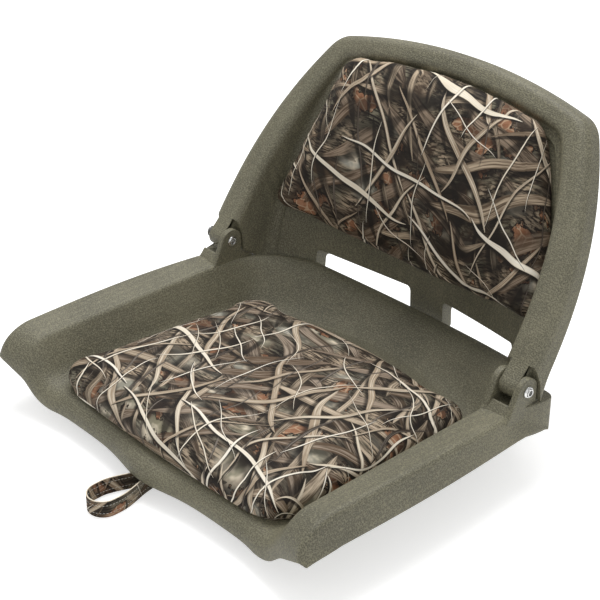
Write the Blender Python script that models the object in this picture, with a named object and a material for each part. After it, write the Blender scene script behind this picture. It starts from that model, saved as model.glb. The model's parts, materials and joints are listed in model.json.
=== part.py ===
"""Folding boat seat: a moulded seat shell with arms, a folding moulded back and two padded cushions.

Everything is placed from the hinge axis, which is the line x = anything, y = 0, z = 0 while the pieces
are made: +X is the sitter's left, seen from the front as right, +Y is the rear and +Z is up. At the end
the whole seat is lifted so that it stands on z = 0 with its outline centred on the origin.

The back is laid out in its own slanted frame: v runs up along the flange from the hinge axis and
off runs square to it towards the rear, so off below zero is in front of the hinge plane.
"""

import math

import bpy
import bmesh
import numpy as np
from mathutils import Vector

# Clearances
GAP = 0.0003
RUN_GAP = 0.0006
LAYER_GAP = 0.0006
PANEL_SEAT_GAP = 0.0012
PANEL_HEAD_GAP = 0.0006
OVERRUN = 0.02

# Overall layout from the hinge axis
EAR_OUTER_X = 0.236
BASE_DROP = 0.106
RECLINE = math.radians(33.4)

# Moulding
SHELL_WALL = 0.0032

# Seat shell: pan
PAN_FRONT_DROP = 0.0645
PAN_REAR_DROP = 0.079
PAN_FOOT_X = 0.177
PAN_FOOT_FILLET = 0.018
REAR_RISE_LENGTH = 0.066

# Seat shell: front lip
LIP_DROP = 0.087
LIP_FRONT_Y = -0.284
LIP_ROLL = 0.021
LIP_CENTRE_BULGE = 0.011
LIP_CENTRE_SPREAD = 0.046
LIP_SIDE_BULGE = 0.007
LIP_SIDE_X = 0.176
LIP_SIDE_SPREAD = 0.024

# Seat shell: arms
ARM_INNER_X = 0.2005
ARM_OUTER_X = 0.2325
ARM_RIM_X = 0.2425
ARM_INNER_DROP = 0.0225
ARM_OUTER_DROP = 0.015
ARM_REAR_DROP = 0.0205
ARM_RIM_DROP = 0.0445
ARM_BOW = 0.003
ARM_INNER_FILLET = 0.0055
ARM_OUTER_FILLET = 0.0105
ARM_TAIL_Y = 0.036
ARM_TAIL_DROP = 0.0275
ARM_TAIL_ROLL = 0.007
NOSE_INNER_Y = -0.281
NOSE_OUTER_Y = -0.2965
NOSE_RIM_Y = -0.286
NOSE_RIM_X = 0.2395
NOSE_INNER_ROLL = 0.036
NOSE_OUTER_ROLL = 0.044
NOSE_DROP = 0.0455

# Seat shell: rear edge under the back
REAR_EDGE_GAP = 0.0018
REAR_EDGE_LAP = 0.005
REAR_EDGE_SIDE_V = 0.008
REAR_EDGE_ROLL = 0.0035

# Hinge
EAR_BLOCK_WIDTH = 0.036
EAR_THICKNESS = 0.007
EAR_RADIUS = 0.014
EAR_FRONT_Y = -0.0245
EAR_REAR_Y = 0.0155
EAR_FOOT_DROP = 0.030
KNUCKLE_RADIUS = 0.0112
KNUCKLE_ROOM = 0.003
WEB_FRONT_Y = -0.0285
WEB_FRONT_DROP = 0.0185
RAMP_FOOT_Y = -0.0232
LEDGE_FRONT_Y = -0.018
LEDGE_REAR_Y = -0.0165
LEDGE_DROP = 0.0125
TROUGH_FRONT_Y = -0.015
TROUGH_DROP = 0.0175
SADDLE_FRONT_Y = 0.0137
SADDLE_FRONT_DROP = 0.015
SADDLE_REAR_Y = 0.031
SADDLE_REAR_DROP = 0.0264
SADDLE_FOOT_DROP = 0.034
KNUCKLE_ARM_V = 0.042
KNUCKLE_ARM_DEPTH = 0.008
PIN_RADIUS = 0.004
PIN_HEAD_RADIUS = 0.0062
PIN_HEAD_HEIGHT = 0.0018
PIN_SOCKET_RADIUS = 0.0026
PIN_SOCKET_DEPTH = 0.004
PIN_TAIL = 0.0012
RETAINER_RADIUS = 0.0064
RETAINER_HEIGHT = 0.0022
BUSHING_WALL = 0.0014

# Rear corner block beside each hinge
BLOCK_INNER_X = 0.2105
BLOCK_OUTER_X = 0.2415
BLOCK_FRONT_Y = 0.0165
BLOCK_REAR_Y = 0.037
BLOCK_TOP_DROP = 0.0165
BLOCK_BOTTOM_DROP = 0.0525
BLOCK_ROUND = 0.005

# Under the seat pan
MOUNT_PITCH = 0.127
MOUNT_CENTRE_Y = -0.118
BOSS_RADIUS = 0.011
RIB_THICKNESS = 0.0045
RIB_DROP = 0.098
CROSS_RIB_DROP = 0.096
RIB_LENGTH = 0.19
HUB_RADIUS = 0.021
FOOT_RADIUS = 0.0105
FOOT_X = 0.146
FOOT_FRONT_Y = -0.243
FOOT_REAR_Y = -0.008
INSERT_RADIUS = 0.0052
INSERT_BORE_RADIUS = 0.0033
INSERT_FLANGE_RADIUS = 0.0085
INSERT_FLANGE_THICKNESS = 0.0016
INSERT_LENGTH = 0.016

# Back shell in the slanted frame
FLANGE_FRONT_OFF = -0.004
FLANGE_HALF_WIDTH = 0.2335
FLANGE_TAPER = 0.0615
FLANGE_TAPER_HEIGHT = 0.255
FLANGE_TAPER_POWER = 2.45
BACK_HEIGHT = 0.2815
BACK_CROWN = 0.0125
BACK_CROWN_X = 0.126
BACK_CORNER_ROUND = 0.024
BACK_INNER_ROUND = 0.016
BAND_WIDTH_LOW = 0.031
BAND_WIDTH_HIGH = 0.025
ARCH_BAND_WIDTH = 0.0185
OUTER_WALL_DEPTH = 0.020
OUTER_WALL_DRAFT = 0.003
OUTER_FILLET = 0.008
INNER_FILLET = 0.0065
INNER_DRAFT = 0.003
FOOT_FILLET = 0.012
DISH_TOP_OFF = 0.004
DISH_DEPTH = 0.107
DISH_TOP_INSET = 0.0245
DISH_REACH = 0.22
DISH_POWER = 1.418
DISH_SIDE_SHARE = 0.505
DISH_SIDE_X = 0.19
DISH_FOCUS_V = 0.18
FLANGE_FOOT_V = -0.0035
PANEL_FOOT_V = 0.014
FOOT_FLARE = 0.005
FOOT_FLARE_V = 0.03
NOTCH_RADIUS = 0.0152
NOTCH_FRONT_V = 0.0235
NOTCH_REAR_V = -0.004
NOTCH_REAR_OFF = 0.0215

# Slots at the foot of the back
SLOT_INNER_X = 0.0245
SLOT_OUTER_X = 0.147
SLOT_TOP_INNER_V = 0.0368
SLOT_TOP_OUTER_V = 0.0306
SLOT_CORNER = 0.006
COLLAR_DEPTH = 0.0135
COLLAR_RIM = 0.0032

# Cushions
COVER_THICKNESS = 0.0012
BOARD_THICKNESS = 0.005
WRAP_WIDTH = 0.018
BOARD_INSET = 0.007
PAD_DRAW_IN = 0.004
PAD_ROUND = 0.012
SEAT_PAD_FRONT_Y = -0.2775
SEAT_PAD_REAR_Y = 0.021
SEAT_PAD_FRONT_X = 0.167
SEAT_PAD_REAR_X = 0.165
SEAT_PAD_FRONT_BOW = 0.012
SEAT_PAD_REAR_BOW = 0.011
SEAT_PAD_CORNER = 0.036
SEAT_PAD_EDGE = 0.026
SEAT_PAD_CROWN = 0.043
BACK_PAD_LOW_V = 0.066
BACK_PAD_TOP_ROOM = 0.0085
BACK_PAD_LOW_X = 0.1965
BACK_PAD_TOP_X = 0.132
BACK_PAD_LOW_RISE = 0.0085
BACK_PAD_TOP_BOW = 0.012
BACK_PAD_CORNER = 0.020
BACK_PAD_EDGE = 0.024
BACK_PAD_CROWN = 0.036
SCREW_RADIUS = 0.0021
SCREW_HEAD_RADIUS = 0.0044
SCREW_HEAD_HEIGHT = 0.0024
SCREW_BITE = 0.0035
SEAT_SCREW_X = 0.098
SEAT_SCREW_FRONT_Y = -0.222
SEAT_SCREW_REAR_Y = -0.030
BACK_SCREW_LOW_X = 0.092
BACK_SCREW_LOW_V = 0.100
BACK_SCREW_TOP_X = 0.072
BACK_SCREW_TOP_INSET = 0.0485

# Hold-down strap under the front lip
STRAP_THICKNESS = 0.0016
STRAP_WIDTH = 0.0172
STRAP_RISE = 0.0008
STRAP_LOOP_HALF_WIDTH = 0.0125
STRAP_NOSE_Y = -0.343
STRAP_WAIST_Y = -0.276
STRAP_CENTRE_X = -0.0085
STRAP_ANCHOR_Y = -0.222
STRAP_END_LENGTH = 0.011
LUG_THICKNESS = 0.005
LUG_LENGTH = 0.026
STRAP_SCREW_RADIUS = 0.0025
STRAP_SCREW_HEAD_RADIUS = 0.006
STRAP_SCREW_HEAD_HEIGHT = 0.003
STRAP_WASHER_RADIUS = 0.0075
STRAP_WASHER_THICKNESS = 0.001
STRAP_NUT_THICKNESS = 0.004
STRAP_NUT_RADIUS = 0.0048

# Counts
ROUND_SIDES = 20
SMALL_SIDES = 14
NUT_SIDES = 6
COLLAR_COLUMNS = 16
COLLAR_ROWS = 2
NOTCH_STEPS = 3
PAN_STEPS = 7
SIDE_STEPS = 10
TOP_STEPS = 6
PAD_EDGE_STEPS = 4
PAD_CORNER_STEPS = 5
ZONE_ROWS = {"front": 6, "middle": 5, "rise": 7, "roll": 3}

# Angles in degrees and powers
EAR_ANGLES = (-12, 158)
KNUCKLE_ANGLES = (70, 290)
NOTCH_ANGLES = (41, 54)
RISE_POWER = 1.15
PAD_SIDE_POWER = 1.4

# Shares of the sizes that they follow
CORNER_LIMIT_SHARE = 0.45
FILLET_LIMIT_SHARE = 0.4
PAN_WALL_SHARE = 0.62
ARM_SKIRT_SHARE = 0.7
ARM_TAIL_SHARE = 0.6
ARM_FLARE_SHARE = 0.8
DOME_SHARE = 0.75
PANEL_SHARES = (0.14, 0.34, 0.56, 0.78, 1.0)
PAD_TOP_SHARES = (0.3, 0.58, 0.78, 0.9)
PAD_ROLL_SHARES = ((0.3, 0.3), (0, 1))
PAD_SIDE_SHARES = ((0.35, 0.45), (1, 0))
PAD_UNDER_SHARES = (0.72, 0.4)

SIDES = {"left": -1, "right": 1}

# Places that follow from the sizes above
DISH_TOP_V = BACK_HEIGHT - DISH_TOP_INSET
BACK_PAD_TOP_V = BACK_HEIGHT - ARCH_BAND_WIDTH - BACK_PAD_TOP_ROOM
BACK_SCREW_TOP_V = BACK_PAD_TOP_V - BACK_SCREW_TOP_INSET

ALONG = np.array([0.0, math.sin(RECLINE), math.cos(RECLINE)])
REARWARD = np.array([0.0, math.cos(RECLINE), -math.sin(RECLINE)])


def clear_scene():
    """Removes whatever the scene starts with."""
    for item in list(bpy.data.objects):
        bpy.data.objects.remove(item)


def material(name, colour, roughness, metallic):
    """A plain surface with the part's own colour."""
    made = bpy.data.materials.new(name)
    made.use_nodes = True
    surface = made.node_tree.nodes["Principled BSDF"]
    surface.inputs["Base Color"].default_value = (*colour, 1)
    surface.inputs["Roughness"].default_value = roughness
    surface.inputs["Metallic"].default_value = metallic
    return made


def add_object(name, bm, look, parent, smooth_angle=35):
    """Makes one object from a bmesh, facing out, with smooth round faces and sharp edges."""
    mesh = bpy.data.meshes.new(name)
    bm.to_mesh(mesh)
    bm.free()
    mesh.shade_smooth()
    mesh.set_sharp_from_angle(angle=math.radians(smooth_angle))
    mesh.materials.append(look)
    made = bpy.data.objects.new(name, mesh)
    bpy.context.collection.objects.link(made)
    made.parent = parent
    return made


def as_tool(tool):
    """Marks an object as a tool that only shapes another one."""
    tool.hide_render = True
    tool.display_type = 'WIRE'
    tool.hide_set(True)
    return tool


def combine(target, tool, operation):
    """Joins a tool solid to the target or cuts it out of the target."""
    change = target.modifiers.new(tool.name, 'BOOLEAN')
    change.operation = operation
    change.object = as_tool(tool)
    change.solver = 'EXACT'


def grid_mesh(points):
    """A sheet of quads from an array of rows of points."""
    bm = bmesh.new()
    rows = [[bm.verts.new(p) for p in row] for row in points]
    for low, high in zip(rows, rows[1:]):
        for j in range(len(low) - 1):
            bm.faces.new((low[j], low[j + 1], high[j + 1], high[j]))
    return bm


def prism(outline, place, start, end):
    """A solid from a closed outline; place(point, x) gives the position of an outline point at x."""
    bm = bmesh.new()
    near = [bm.verts.new(place(p, start)) for p in outline]
    far = [bm.verts.new(place(p, end)) for p in outline]
    bm.faces.new(near)
    bm.faces.new(list(reversed(far)))
    count = len(outline)
    for i in range(count):
        j = (i + 1) % count
        bm.faces.new((near[j], near[i], far[i], far[j]))
    bmesh.ops.recalc_face_normals(bm, faces=bm.faces)
    return bm


def turned(profile, origin, axis, sides=ROUND_SIDES):
    """A solid turned about an axis; the profile is a list of (distance along, radius) from end to end."""
    axis = Vector(axis).normalized()
    across = axis.orthogonal().normalized()
    other = axis.cross(across)
    start = Vector(origin)
    bm = bmesh.new()
    rings = []
    for distance, radius in profile:
        middle = start + axis * distance
        if radius == 0:
            rings.append([bm.verts.new(middle)])
            continue
        ring = []
        for k in range(sides):
            angle = 2 * math.pi * k / sides
            ring.append(bm.verts.new(middle + (across * math.cos(angle) + other * math.sin(angle)) * radius))
        rings.append(ring)
    for low, high in zip(rings, rings[1:]):
        for k in range(sides):
            n = (k + 1) % sides
            corners = [low[k % len(low)], low[n % len(low)], high[n % len(high)], high[k % len(high)]]
            unique = list(dict.fromkeys(corners))
            bm.faces.new(unique)
    if len(rings[0]) > 1:
        bm.faces.new(list(reversed(rings[0])))
    if len(rings[-1]) > 1:
        bm.faces.new(rings[-1])
    bmesh.ops.recalc_face_normals(bm, faces=bm.faces)
    return bm


def tube(origin, axis, length, outer, inner, sides):
    """A plain sleeve with a bore."""
    profile = [(0, inner), (0, outer), (length, outer), (length, inner)]
    axis = Vector(axis).normalized()
    across = axis.orthogonal().normalized()
    other = axis.cross(across)
    start = Vector(origin)
    bm = bmesh.new()
    rings = []
    for distance, radius in profile:
        ring = []
        for k in range(sides):
            angle = 2 * math.pi * k / sides
            spoke = across * math.cos(angle) + other * math.sin(angle)
            ring.append(bm.verts.new(start + axis * distance + spoke * radius))
        rings.append(ring)
    for i in range(len(rings)):
        low = rings[i]
        high = rings[(i + 1) % len(rings)]
        for k in range(sides):
            n = (k + 1) % sides
            bm.faces.new((low[k], low[n], high[n], high[k]))
    bmesh.ops.recalc_face_normals(bm, faces=bm.faces)
    return bm


def rod(origin, axis, length, radius, sides=ROUND_SIDES):
    """A plain round bar."""
    return turned([(0, radius), (length, radius)], origin, axis, sides)


def box(low, high):
    """A box between two corners."""
    bm = bmesh.new()
    bmesh.ops.create_cube(bm, size=1)
    low = Vector(low)
    size = Vector(high) - low
    for vert in bm.verts:
        vert.co = Vector(low[i] + (vert.co[i] + 0.5) * size[i] for i in range(3))
    return bm


def rounded_corner(before, corner, after, reach, count):
    """Points of a smooth bend at a corner, starting and ending at most reach from it."""
    before = np.asarray(before)
    corner = np.asarray(corner)
    after = np.asarray(after)
    back = before - corner
    ahead = after - corner
    back_length = np.linalg.norm(back)
    ahead_length = np.linalg.norm(ahead)
    start = corner + back * min(reach / back_length, CORNER_LIMIT_SHARE)
    end = corner + ahead * min(reach / ahead_length, CORNER_LIMIT_SHARE)
    t = np.linspace(0, 1, count)[:, None]
    return list((1 - t) ** 2 * start + 2 * t * (1 - t) * corner + t ** 2 * end)


def back_place(x, v, off):
    """The position of a point given in the back's slanted frame."""
    return np.array([x, 0.0, 0.0]) + v * ALONG + off * REARWARD


def dish_off(x, v):
    """How far behind the hinge plane the front surface of the back panel lies."""
    reach = max(DISH_TOP_V - v, 0) / DISH_REACH
    centre = DISH_TOP_OFF + DISH_DEPTH * reach ** DISH_POWER
    return centre * (1 - DISH_SIDE_SHARE * (x / DISH_SIDE_X) ** 2)


def side_share(x):
    """How far x has got from the slots' outer ends to the foot of the panel's side."""
    return min(max((abs(x) - SLOT_OUTER_X) / (DISH_SIDE_X - SLOT_OUTER_X), 0), 1)


def foot_v(x):
    """The height along the slant of the back's lower edge."""
    return PANEL_FOOT_V + (FLANGE_FOOT_V - PANEL_FOOT_V) * side_share(x)


def raised(point, normal, height):
    """A point moved off a surface along its normal."""
    return point + np.asarray(normal) * height


def pan_floor(y):
    """The height of the pan's floor, which falls towards the rear."""
    share = (y - LIP_FRONT_Y) / (EAR_REAR_Y - LIP_FRONT_Y)
    return -PAN_FRONT_DROP - (PAN_REAR_DROP - PAN_FRONT_DROP) * share


def pan_normal():
    """The direction square to the pan's floor, upwards."""
    slope = (PAN_REAR_DROP - PAN_FRONT_DROP) / (EAR_REAR_Y - LIP_FRONT_Y)
    return np.array([0.0, slope, 1.0]) / math.hypot(slope, 1)


def panel_normal(x, v):
    """The direction square to the back panel's surface, towards its front."""
    step = SHELL_WALL
    here = back_place(x, v, dish_off(x, v))
    along_x = back_place(x + step, v, dish_off(x + step, v)) - here
    along_v = back_place(x, v + step, dish_off(x, v + step)) - here
    normal = np.cross(along_x, along_v)
    return normal / np.linalg.norm(normal)


def bump(distance, spread):
    """A smooth hump of height one."""
    return math.exp(-(distance / spread) ** 2)


def lip_front(x):
    """The front edge of the lip, which bulges in the middle and towards each side."""
    middle = LIP_CENTRE_BULGE * bump(x, LIP_CENTRE_SPREAD)
    side = LIP_SIDE_BULGE * bump(abs(x) - LIP_SIDE_X, LIP_SIDE_SPREAD)
    return LIP_FRONT_Y - middle - side


def rear_edge(x):
    """The seat's rear edge, which lies just in front of the foot of the back panel."""
    middle_v = PANEL_FOOT_V + REAR_EDGE_LAP
    v = middle_v + (REAR_EDGE_SIDE_V - middle_v) * side_share(x)
    point = back_place(x, v, dish_off(x, v))
    return point[1] - REAR_EDGE_GAP, point[2]


def pan_point(x, share, zone):
    """A point of the pan's upper surface; share runs from 0 to 1, front to rear, through one zone."""
    edge_y, edge_z = rear_edge(x)
    rise_start = edge_y - REAR_EDGE_ROLL - REAR_RISE_LENGTH
    front_end = lip_front(x) + LIP_ROLL
    if zone == "front":
        angle = share * math.pi / 2
        y = lip_front(x) + LIP_ROLL * (1 - math.cos(angle))
        z = -LIP_DROP + (pan_floor(y) + LIP_DROP) * math.sin(angle)
    elif zone == "middle":
        y = front_end + (rise_start - front_end) * share
        z = pan_floor(y)
    elif zone == "rise":
        y = rise_start + REAR_RISE_LENGTH * share
        climb = (3 * share ** 2 - 2 * share ** 3) ** RISE_POWER
        z = pan_floor(y) + (edge_z - pan_floor(y)) * climb
    else:
        angle = share * math.pi / 2
        y = edge_y - REAR_EDGE_ROLL * (1 - math.sin(angle))
        z = edge_z - REAR_EDGE_ROLL * (1 - math.cos(angle))
    return np.array([x, y, z])


def arm_points(share, zone):
    """The arm's inner crease, outer crease and rim.

    The share runs from 0 to 1, front to rear, through one zone.
    """
    inner_end = NOSE_INNER_Y + NOSE_INNER_ROLL
    outer_end = NOSE_OUTER_Y + NOSE_OUTER_ROLL
    tail_start = ARM_TAIL_Y - ARM_TAIL_ROLL
    rise_start = EAR_REAR_Y - REAR_RISE_LENGTH / 2
    if zone == "front":
        angle = share * math.pi / 2
        level = math.sin(angle)
        inner = [ARM_INNER_X, NOSE_INNER_Y + NOSE_INNER_ROLL * (1 - math.cos(angle)),
                 -NOSE_DROP + (NOSE_DROP - ARM_INNER_DROP) * level]
        outer = [ARM_OUTER_X, NOSE_OUTER_Y + NOSE_OUTER_ROLL * (1 - math.cos(angle)),
                 -NOSE_DROP + (NOSE_DROP - ARM_OUTER_DROP) * level]
        rim = [NOSE_RIM_X + (ARM_RIM_X - NOSE_RIM_X) * level,
               NOSE_RIM_Y + (outer_end - NOSE_RIM_Y) * share, -NOSE_DROP + (NOSE_DROP - ARM_RIM_DROP) * share]
        return np.array(inner), np.array(outer), np.array(rim)
    if zone == "middle":
        bow = ARM_BOW * math.sin(math.pi * share)
        drop = ARM_OUTER_DROP + (ARM_REAR_DROP - ARM_OUTER_DROP) * share ** 3
        inner = [ARM_INNER_X, inner_end + (rise_start - inner_end) * share, -ARM_INNER_DROP]
        outer = [ARM_OUTER_X + bow, outer_end + (rise_start - outer_end) * share, -drop]
        rim = [ARM_RIM_X + bow, outer[1], -ARM_RIM_DROP]
        return np.array(inner), np.array(outer), np.array(rim)
    if zone == "rise":
        y = rise_start + (tail_start - rise_start) * share
        fall = (ARM_TAIL_DROP - ARM_REAR_DROP) * share ** 2
        inner = [ARM_INNER_X, y, -ARM_INNER_DROP - (ARM_TAIL_DROP - ARM_INNER_DROP) * share ** 2]
        outer = [ARM_OUTER_X, y, -ARM_REAR_DROP - fall]
        flare = (BLOCK_BOTTOM_DROP - ARM_RIM_DROP) * share ** 3
        rim = [ARM_RIM_X, y, -ARM_RIM_DROP - flare * ARM_FLARE_SHARE]
        return np.array(inner), np.array(outer), np.array(rim)
    angle = share * math.pi / 2
    y = tail_start + ARM_TAIL_ROLL * math.sin(angle)
    floor = -ARM_TAIL_DROP - (BLOCK_BOTTOM_DROP - ARM_TAIL_DROP) * (1 - math.cos(angle)) * ARM_TAIL_SHARE
    _, _, last = arm_points(1.0, "rise")
    inner = [ARM_INNER_X, y, -ARM_TAIL_DROP - ARM_TAIL_ROLL * (1 - math.cos(angle)) * ARM_TAIL_SHARE]
    outer = [ARM_OUTER_X, y, floor]
    rim = [ARM_RIM_X - ARM_TAIL_ROLL * share, y, last[2]]
    return np.array(inner), np.array(outer), np.array(rim)


def seat_row(share, zone):
    """One row of the seat shell's upper surface, from the centre line out to the rim of the right arm."""
    inner, outer, rim = arm_points(share, zone)
    pan = [pan_point(PAN_FOOT_X * i / PAN_STEPS, share, zone) for i in range(PAN_STEPS + 1)]
    foot = pan[-1]
    row = pan[:-1]
    row += rounded_corner(pan[-2], foot, inner, PAN_FOOT_FILLET, 4)
    row.append(foot + (inner - foot) * PAN_WALL_SHARE)
    row += rounded_corner(foot, inner, outer, ARM_INNER_FILLET, 3)
    row.append((inner + outer) / 2)
    row += rounded_corner(inner, outer, rim, ARM_OUTER_FILLET, 4)
    row.append(outer + (rim - outer) * ARM_SKIRT_SHARE)
    row.append(rim)
    return row


def seat_sheet():
    """The seat shell's upper surface as rows of points from front to rear."""
    rows = []
    for zone, count in ZONE_ROWS.items():
        first = 0 if zone == "front" else 1
        for i in range(first, count + 1):
            half = seat_row(i / count, zone)
            other = [p * [-1, 1, 1] for p in reversed(half[1:])]
            rows.append(other + half)
    return rows


def thicken(target, thickness):
    """Gives a sheet its wall on the side away from its faces."""
    wall = target.modifiers.new("wall", 'SOLIDIFY')
    wall.thickness = thickness
    wall.offset = -1
    wall.use_quality_normals = True


def across_x(point, x):
    """Places an outline point (y, z) at x."""
    return (x, point[0], point[1])


def arc(centre, radius, start, end, count):
    """Points on a round stretch, angles in degrees from +Y towards +Z."""
    points = []
    for k in range(count):
        angle = math.radians(start + (end - start) * k / (count - 1))
        points.append((centre[0] + radius * math.cos(angle), centre[1] + radius * math.sin(angle)))
    return points


def hinge_spans(side):
    """The x range of the ear block and of the room between the ears, on one side."""
    outer = EAR_OUTER_X * side
    inner = (EAR_OUTER_X - EAR_BLOCK_WIDTH) * side
    room_outer = (EAR_OUTER_X - EAR_THICKNESS) * side
    room_inner = (EAR_OUTER_X - EAR_BLOCK_WIDTH + EAR_THICKNESS) * side
    return inner, outer, room_inner, room_outer


def ear_outline():
    """The side view of the hinge ears, with the saddle behind them that follows the back's foot."""
    points = [(EAR_FRONT_Y, -EAR_FOOT_DROP), (SADDLE_REAR_Y, -SADDLE_FOOT_DROP)]
    points += [(SADDLE_REAR_Y, -SADDLE_REAR_DROP), (SADDLE_FRONT_Y, -SADDLE_FRONT_DROP)]
    points += arc((0, 0), EAR_RADIUS, *EAR_ANGLES, ROUND_SIDES // 2 + 1)
    points.append((EAR_FRONT_Y, -ARM_REAR_DROP))
    return points


def room_outline():
    """The side view of the room between the ears: over the web's ramp, its ledge and the trough behind."""
    reach = KNUCKLE_RADIUS + KNUCKLE_ROOM
    return [(WEB_FRONT_Y, OVERRUN), (WEB_FRONT_Y, -WEB_FRONT_DROP), (RAMP_FOOT_Y, -WEB_FRONT_DROP),
            (LEDGE_FRONT_Y, -LEDGE_DROP), (LEDGE_REAR_Y, -LEDGE_DROP), (TROUGH_FRONT_Y, -TROUGH_DROP),
            (reach, -TROUGH_DROP), (reach, OVERRUN)]


def make_seat_shell(look, seat):
    """The one-piece seat: pan, front lip, two arms, hinge ears, rear blocks, ribs, bosses and feet."""
    sheet = grid_mesh(seat_sheet())
    shell = add_object("seat_shell", sheet, look, seat)
    thicken(shell, SHELL_WALL)
    for name, side in SIDES.items():
        inner, outer, room_inner, room_outer = hinge_spans(side)
        ears = add_object("tool_ears_" + name, prism(ear_outline(), across_x, inner, outer), look, seat)
        combine(shell, ears, 'UNION')
        near, far = sorted((BLOCK_INNER_X * side, BLOCK_OUTER_X * side))
        block = box((near, BLOCK_FRONT_Y, -BLOCK_BOTTOM_DROP), (far, BLOCK_REAR_Y, -BLOCK_TOP_DROP))
        bmesh.ops.bevel(block, geom=block.edges[:], offset=BLOCK_ROUND, segments=3, affect='EDGES')
        combine(shell, add_object("tool_block_" + name, block, look, seat), 'UNION')
        room = prism(room_outline(), across_x, room_inner, room_outer)
        slot = add_object("tool_room_" + name, room, look, seat)
        combine(shell, slot, 'DIFFERENCE')
        bore = rod((inner - OVERRUN * side, 0, 0), (side, 0, 0), EAR_BLOCK_WIDTH + 2 * OVERRUN,
                   PIN_RADIUS + GAP)
        combine(shell, add_object("tool_pin_bore_" + name, bore, look, seat), 'DIFFERENCE')
    make_underside(shell, look, seat)
    make_strap_lug(shell, look, seat)
    return shell


def mount_places():
    """The four mounting bosses."""
    reach = MOUNT_PITCH / 2
    return [(sx * reach, MOUNT_CENTRE_Y + sy * reach) for sy in (-1, 1) for sx in (-1, 1)]


def foot_places():
    """The four feet under the pan's corners."""
    return [(sx * FOOT_X, y) for y in (FOOT_FRONT_Y, FOOT_REAR_Y) for sx in (-1, 1)]


def seat_screw_places():
    """The four screws that hold the seat cushion."""
    return [(sx * SEAT_SCREW_X, y) for y in (SEAT_SCREW_FRONT_Y, SEAT_SCREW_REAR_Y) for sx in (-1, 1)]


def pan_under(y):
    """The height of the middle of the pan's wall, where ribs and bosses root."""
    return pan_floor(y) - SHELL_WALL / 2


def make_underside(shell, look, seat):
    """Ribs, bosses, hub and feet under the pan, with the bores for inserts and screws."""
    reach = MOUNT_PITCH / 2
    half = RIB_THICKNESS / 2
    run = RIB_LENGTH / 2
    front = MOUNT_CENTRE_Y - run
    rear = MOUNT_CENTRE_Y + run
    web = [(front, -RIB_DROP), (rear, -RIB_DROP), (rear, pan_under(rear)), (front, pan_under(front))]
    for i, x in enumerate((-reach, reach)):
        rib = prism(web, across_x, x - half, x + half)
        combine(shell, add_object(f"tool_long_rib_{i}", rib, look, seat), 'UNION')
    for i, y in enumerate((MOUNT_CENTRE_Y - reach, MOUNT_CENTRE_Y, MOUNT_CENTRE_Y + reach)):
        rib = box((-run, y - half, -CROSS_RIB_DROP), (run, y + half, pan_under(y)))
        combine(shell, add_object(f"tool_cross_rib_{i}", rib, look, seat), 'UNION')
    rounds = [("boss", place, BOSS_RADIUS) for place in mount_places()]
    rounds += [("foot", place, FOOT_RADIUS) for place in foot_places()]
    rounds.append(("hub", (0, MOUNT_CENTRE_Y), HUB_RADIUS))
    for i, (kind, place, radius) in enumerate(rounds):
        height = BASE_DROP + pan_under(place[1])
        post = rod((*place, -BASE_DROP), (0, 0, 1), height, radius, SMALL_SIDES)
        combine(shell, add_object(f"tool_{kind}_{i}", post, look, seat), 'UNION')
    for i, place in enumerate(mount_places()):
        depth = INSERT_LENGTH + GAP
        recess = INSERT_FLANGE_THICKNESS + GAP
        bore = turned([(-OVERRUN, INSERT_FLANGE_RADIUS + GAP), (recess, INSERT_FLANGE_RADIUS + GAP),
                       (recess, INSERT_RADIUS + GAP), (depth, INSERT_RADIUS + GAP)],
                      (*place, -BASE_DROP), (0, 0, 1), SMALL_SIDES)
        combine(shell, add_object(f"tool_insert_bore_{i}", bore, look, seat), 'DIFFERENCE')
    for i, place in enumerate(seat_screw_places()):
        start = on_pan(*place, -OVERRUN)
        bore = rod(start, pan_normal(), 2 * OVERRUN, SCREW_RADIUS + GAP, SMALL_SIDES)
        combine(shell, add_object(f"tool_pad_bore_{i}", bore, look, seat), 'DIFFERENCE')


def lug_span():
    """The x range of the lug that the strap is screwed to."""
    return STRAP_CENTRE_X - LUG_THICKNESS / 2, STRAP_CENTRE_X + LUG_THICKNESS / 2


def strap_levels():
    """The lower and upper edge of the strap."""
    low = -BASE_DROP + STRAP_RISE
    return low, low + STRAP_WIDTH


def make_strap_lug(shell, look, seat):
    """The lug under the pan that carries the hold-down strap, with its bore."""
    left, right = lug_span()
    low, high = strap_levels()
    lug = box((left, STRAP_ANCHOR_Y - LUG_LENGTH / 2, low), (right, STRAP_ANCHOR_Y + LUG_LENGTH / 2,
                                                                     pan_under(STRAP_ANCHOR_Y)))
    combine(shell, add_object("tool_lug", lug, look, seat), 'UNION')
    bore = rod((left - OVERRUN, STRAP_ANCHOR_Y, (low + high) / 2), (1, 0, 0), LUG_THICKNESS + 2 * OVERRUN,
               STRAP_SCREW_RADIUS + GAP, SMALL_SIDES)
    combine(shell, add_object("tool_lug_bore", bore, look, seat), 'DIFFERENCE')


def flange_x(v):
    """Half the width of the back at its outer crease."""
    return FLANGE_HALF_WIDTH - FLANGE_TAPER * (max(v, 0) / FLANGE_TAPER_HEIGHT) ** FLANGE_TAPER_POWER


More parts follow.
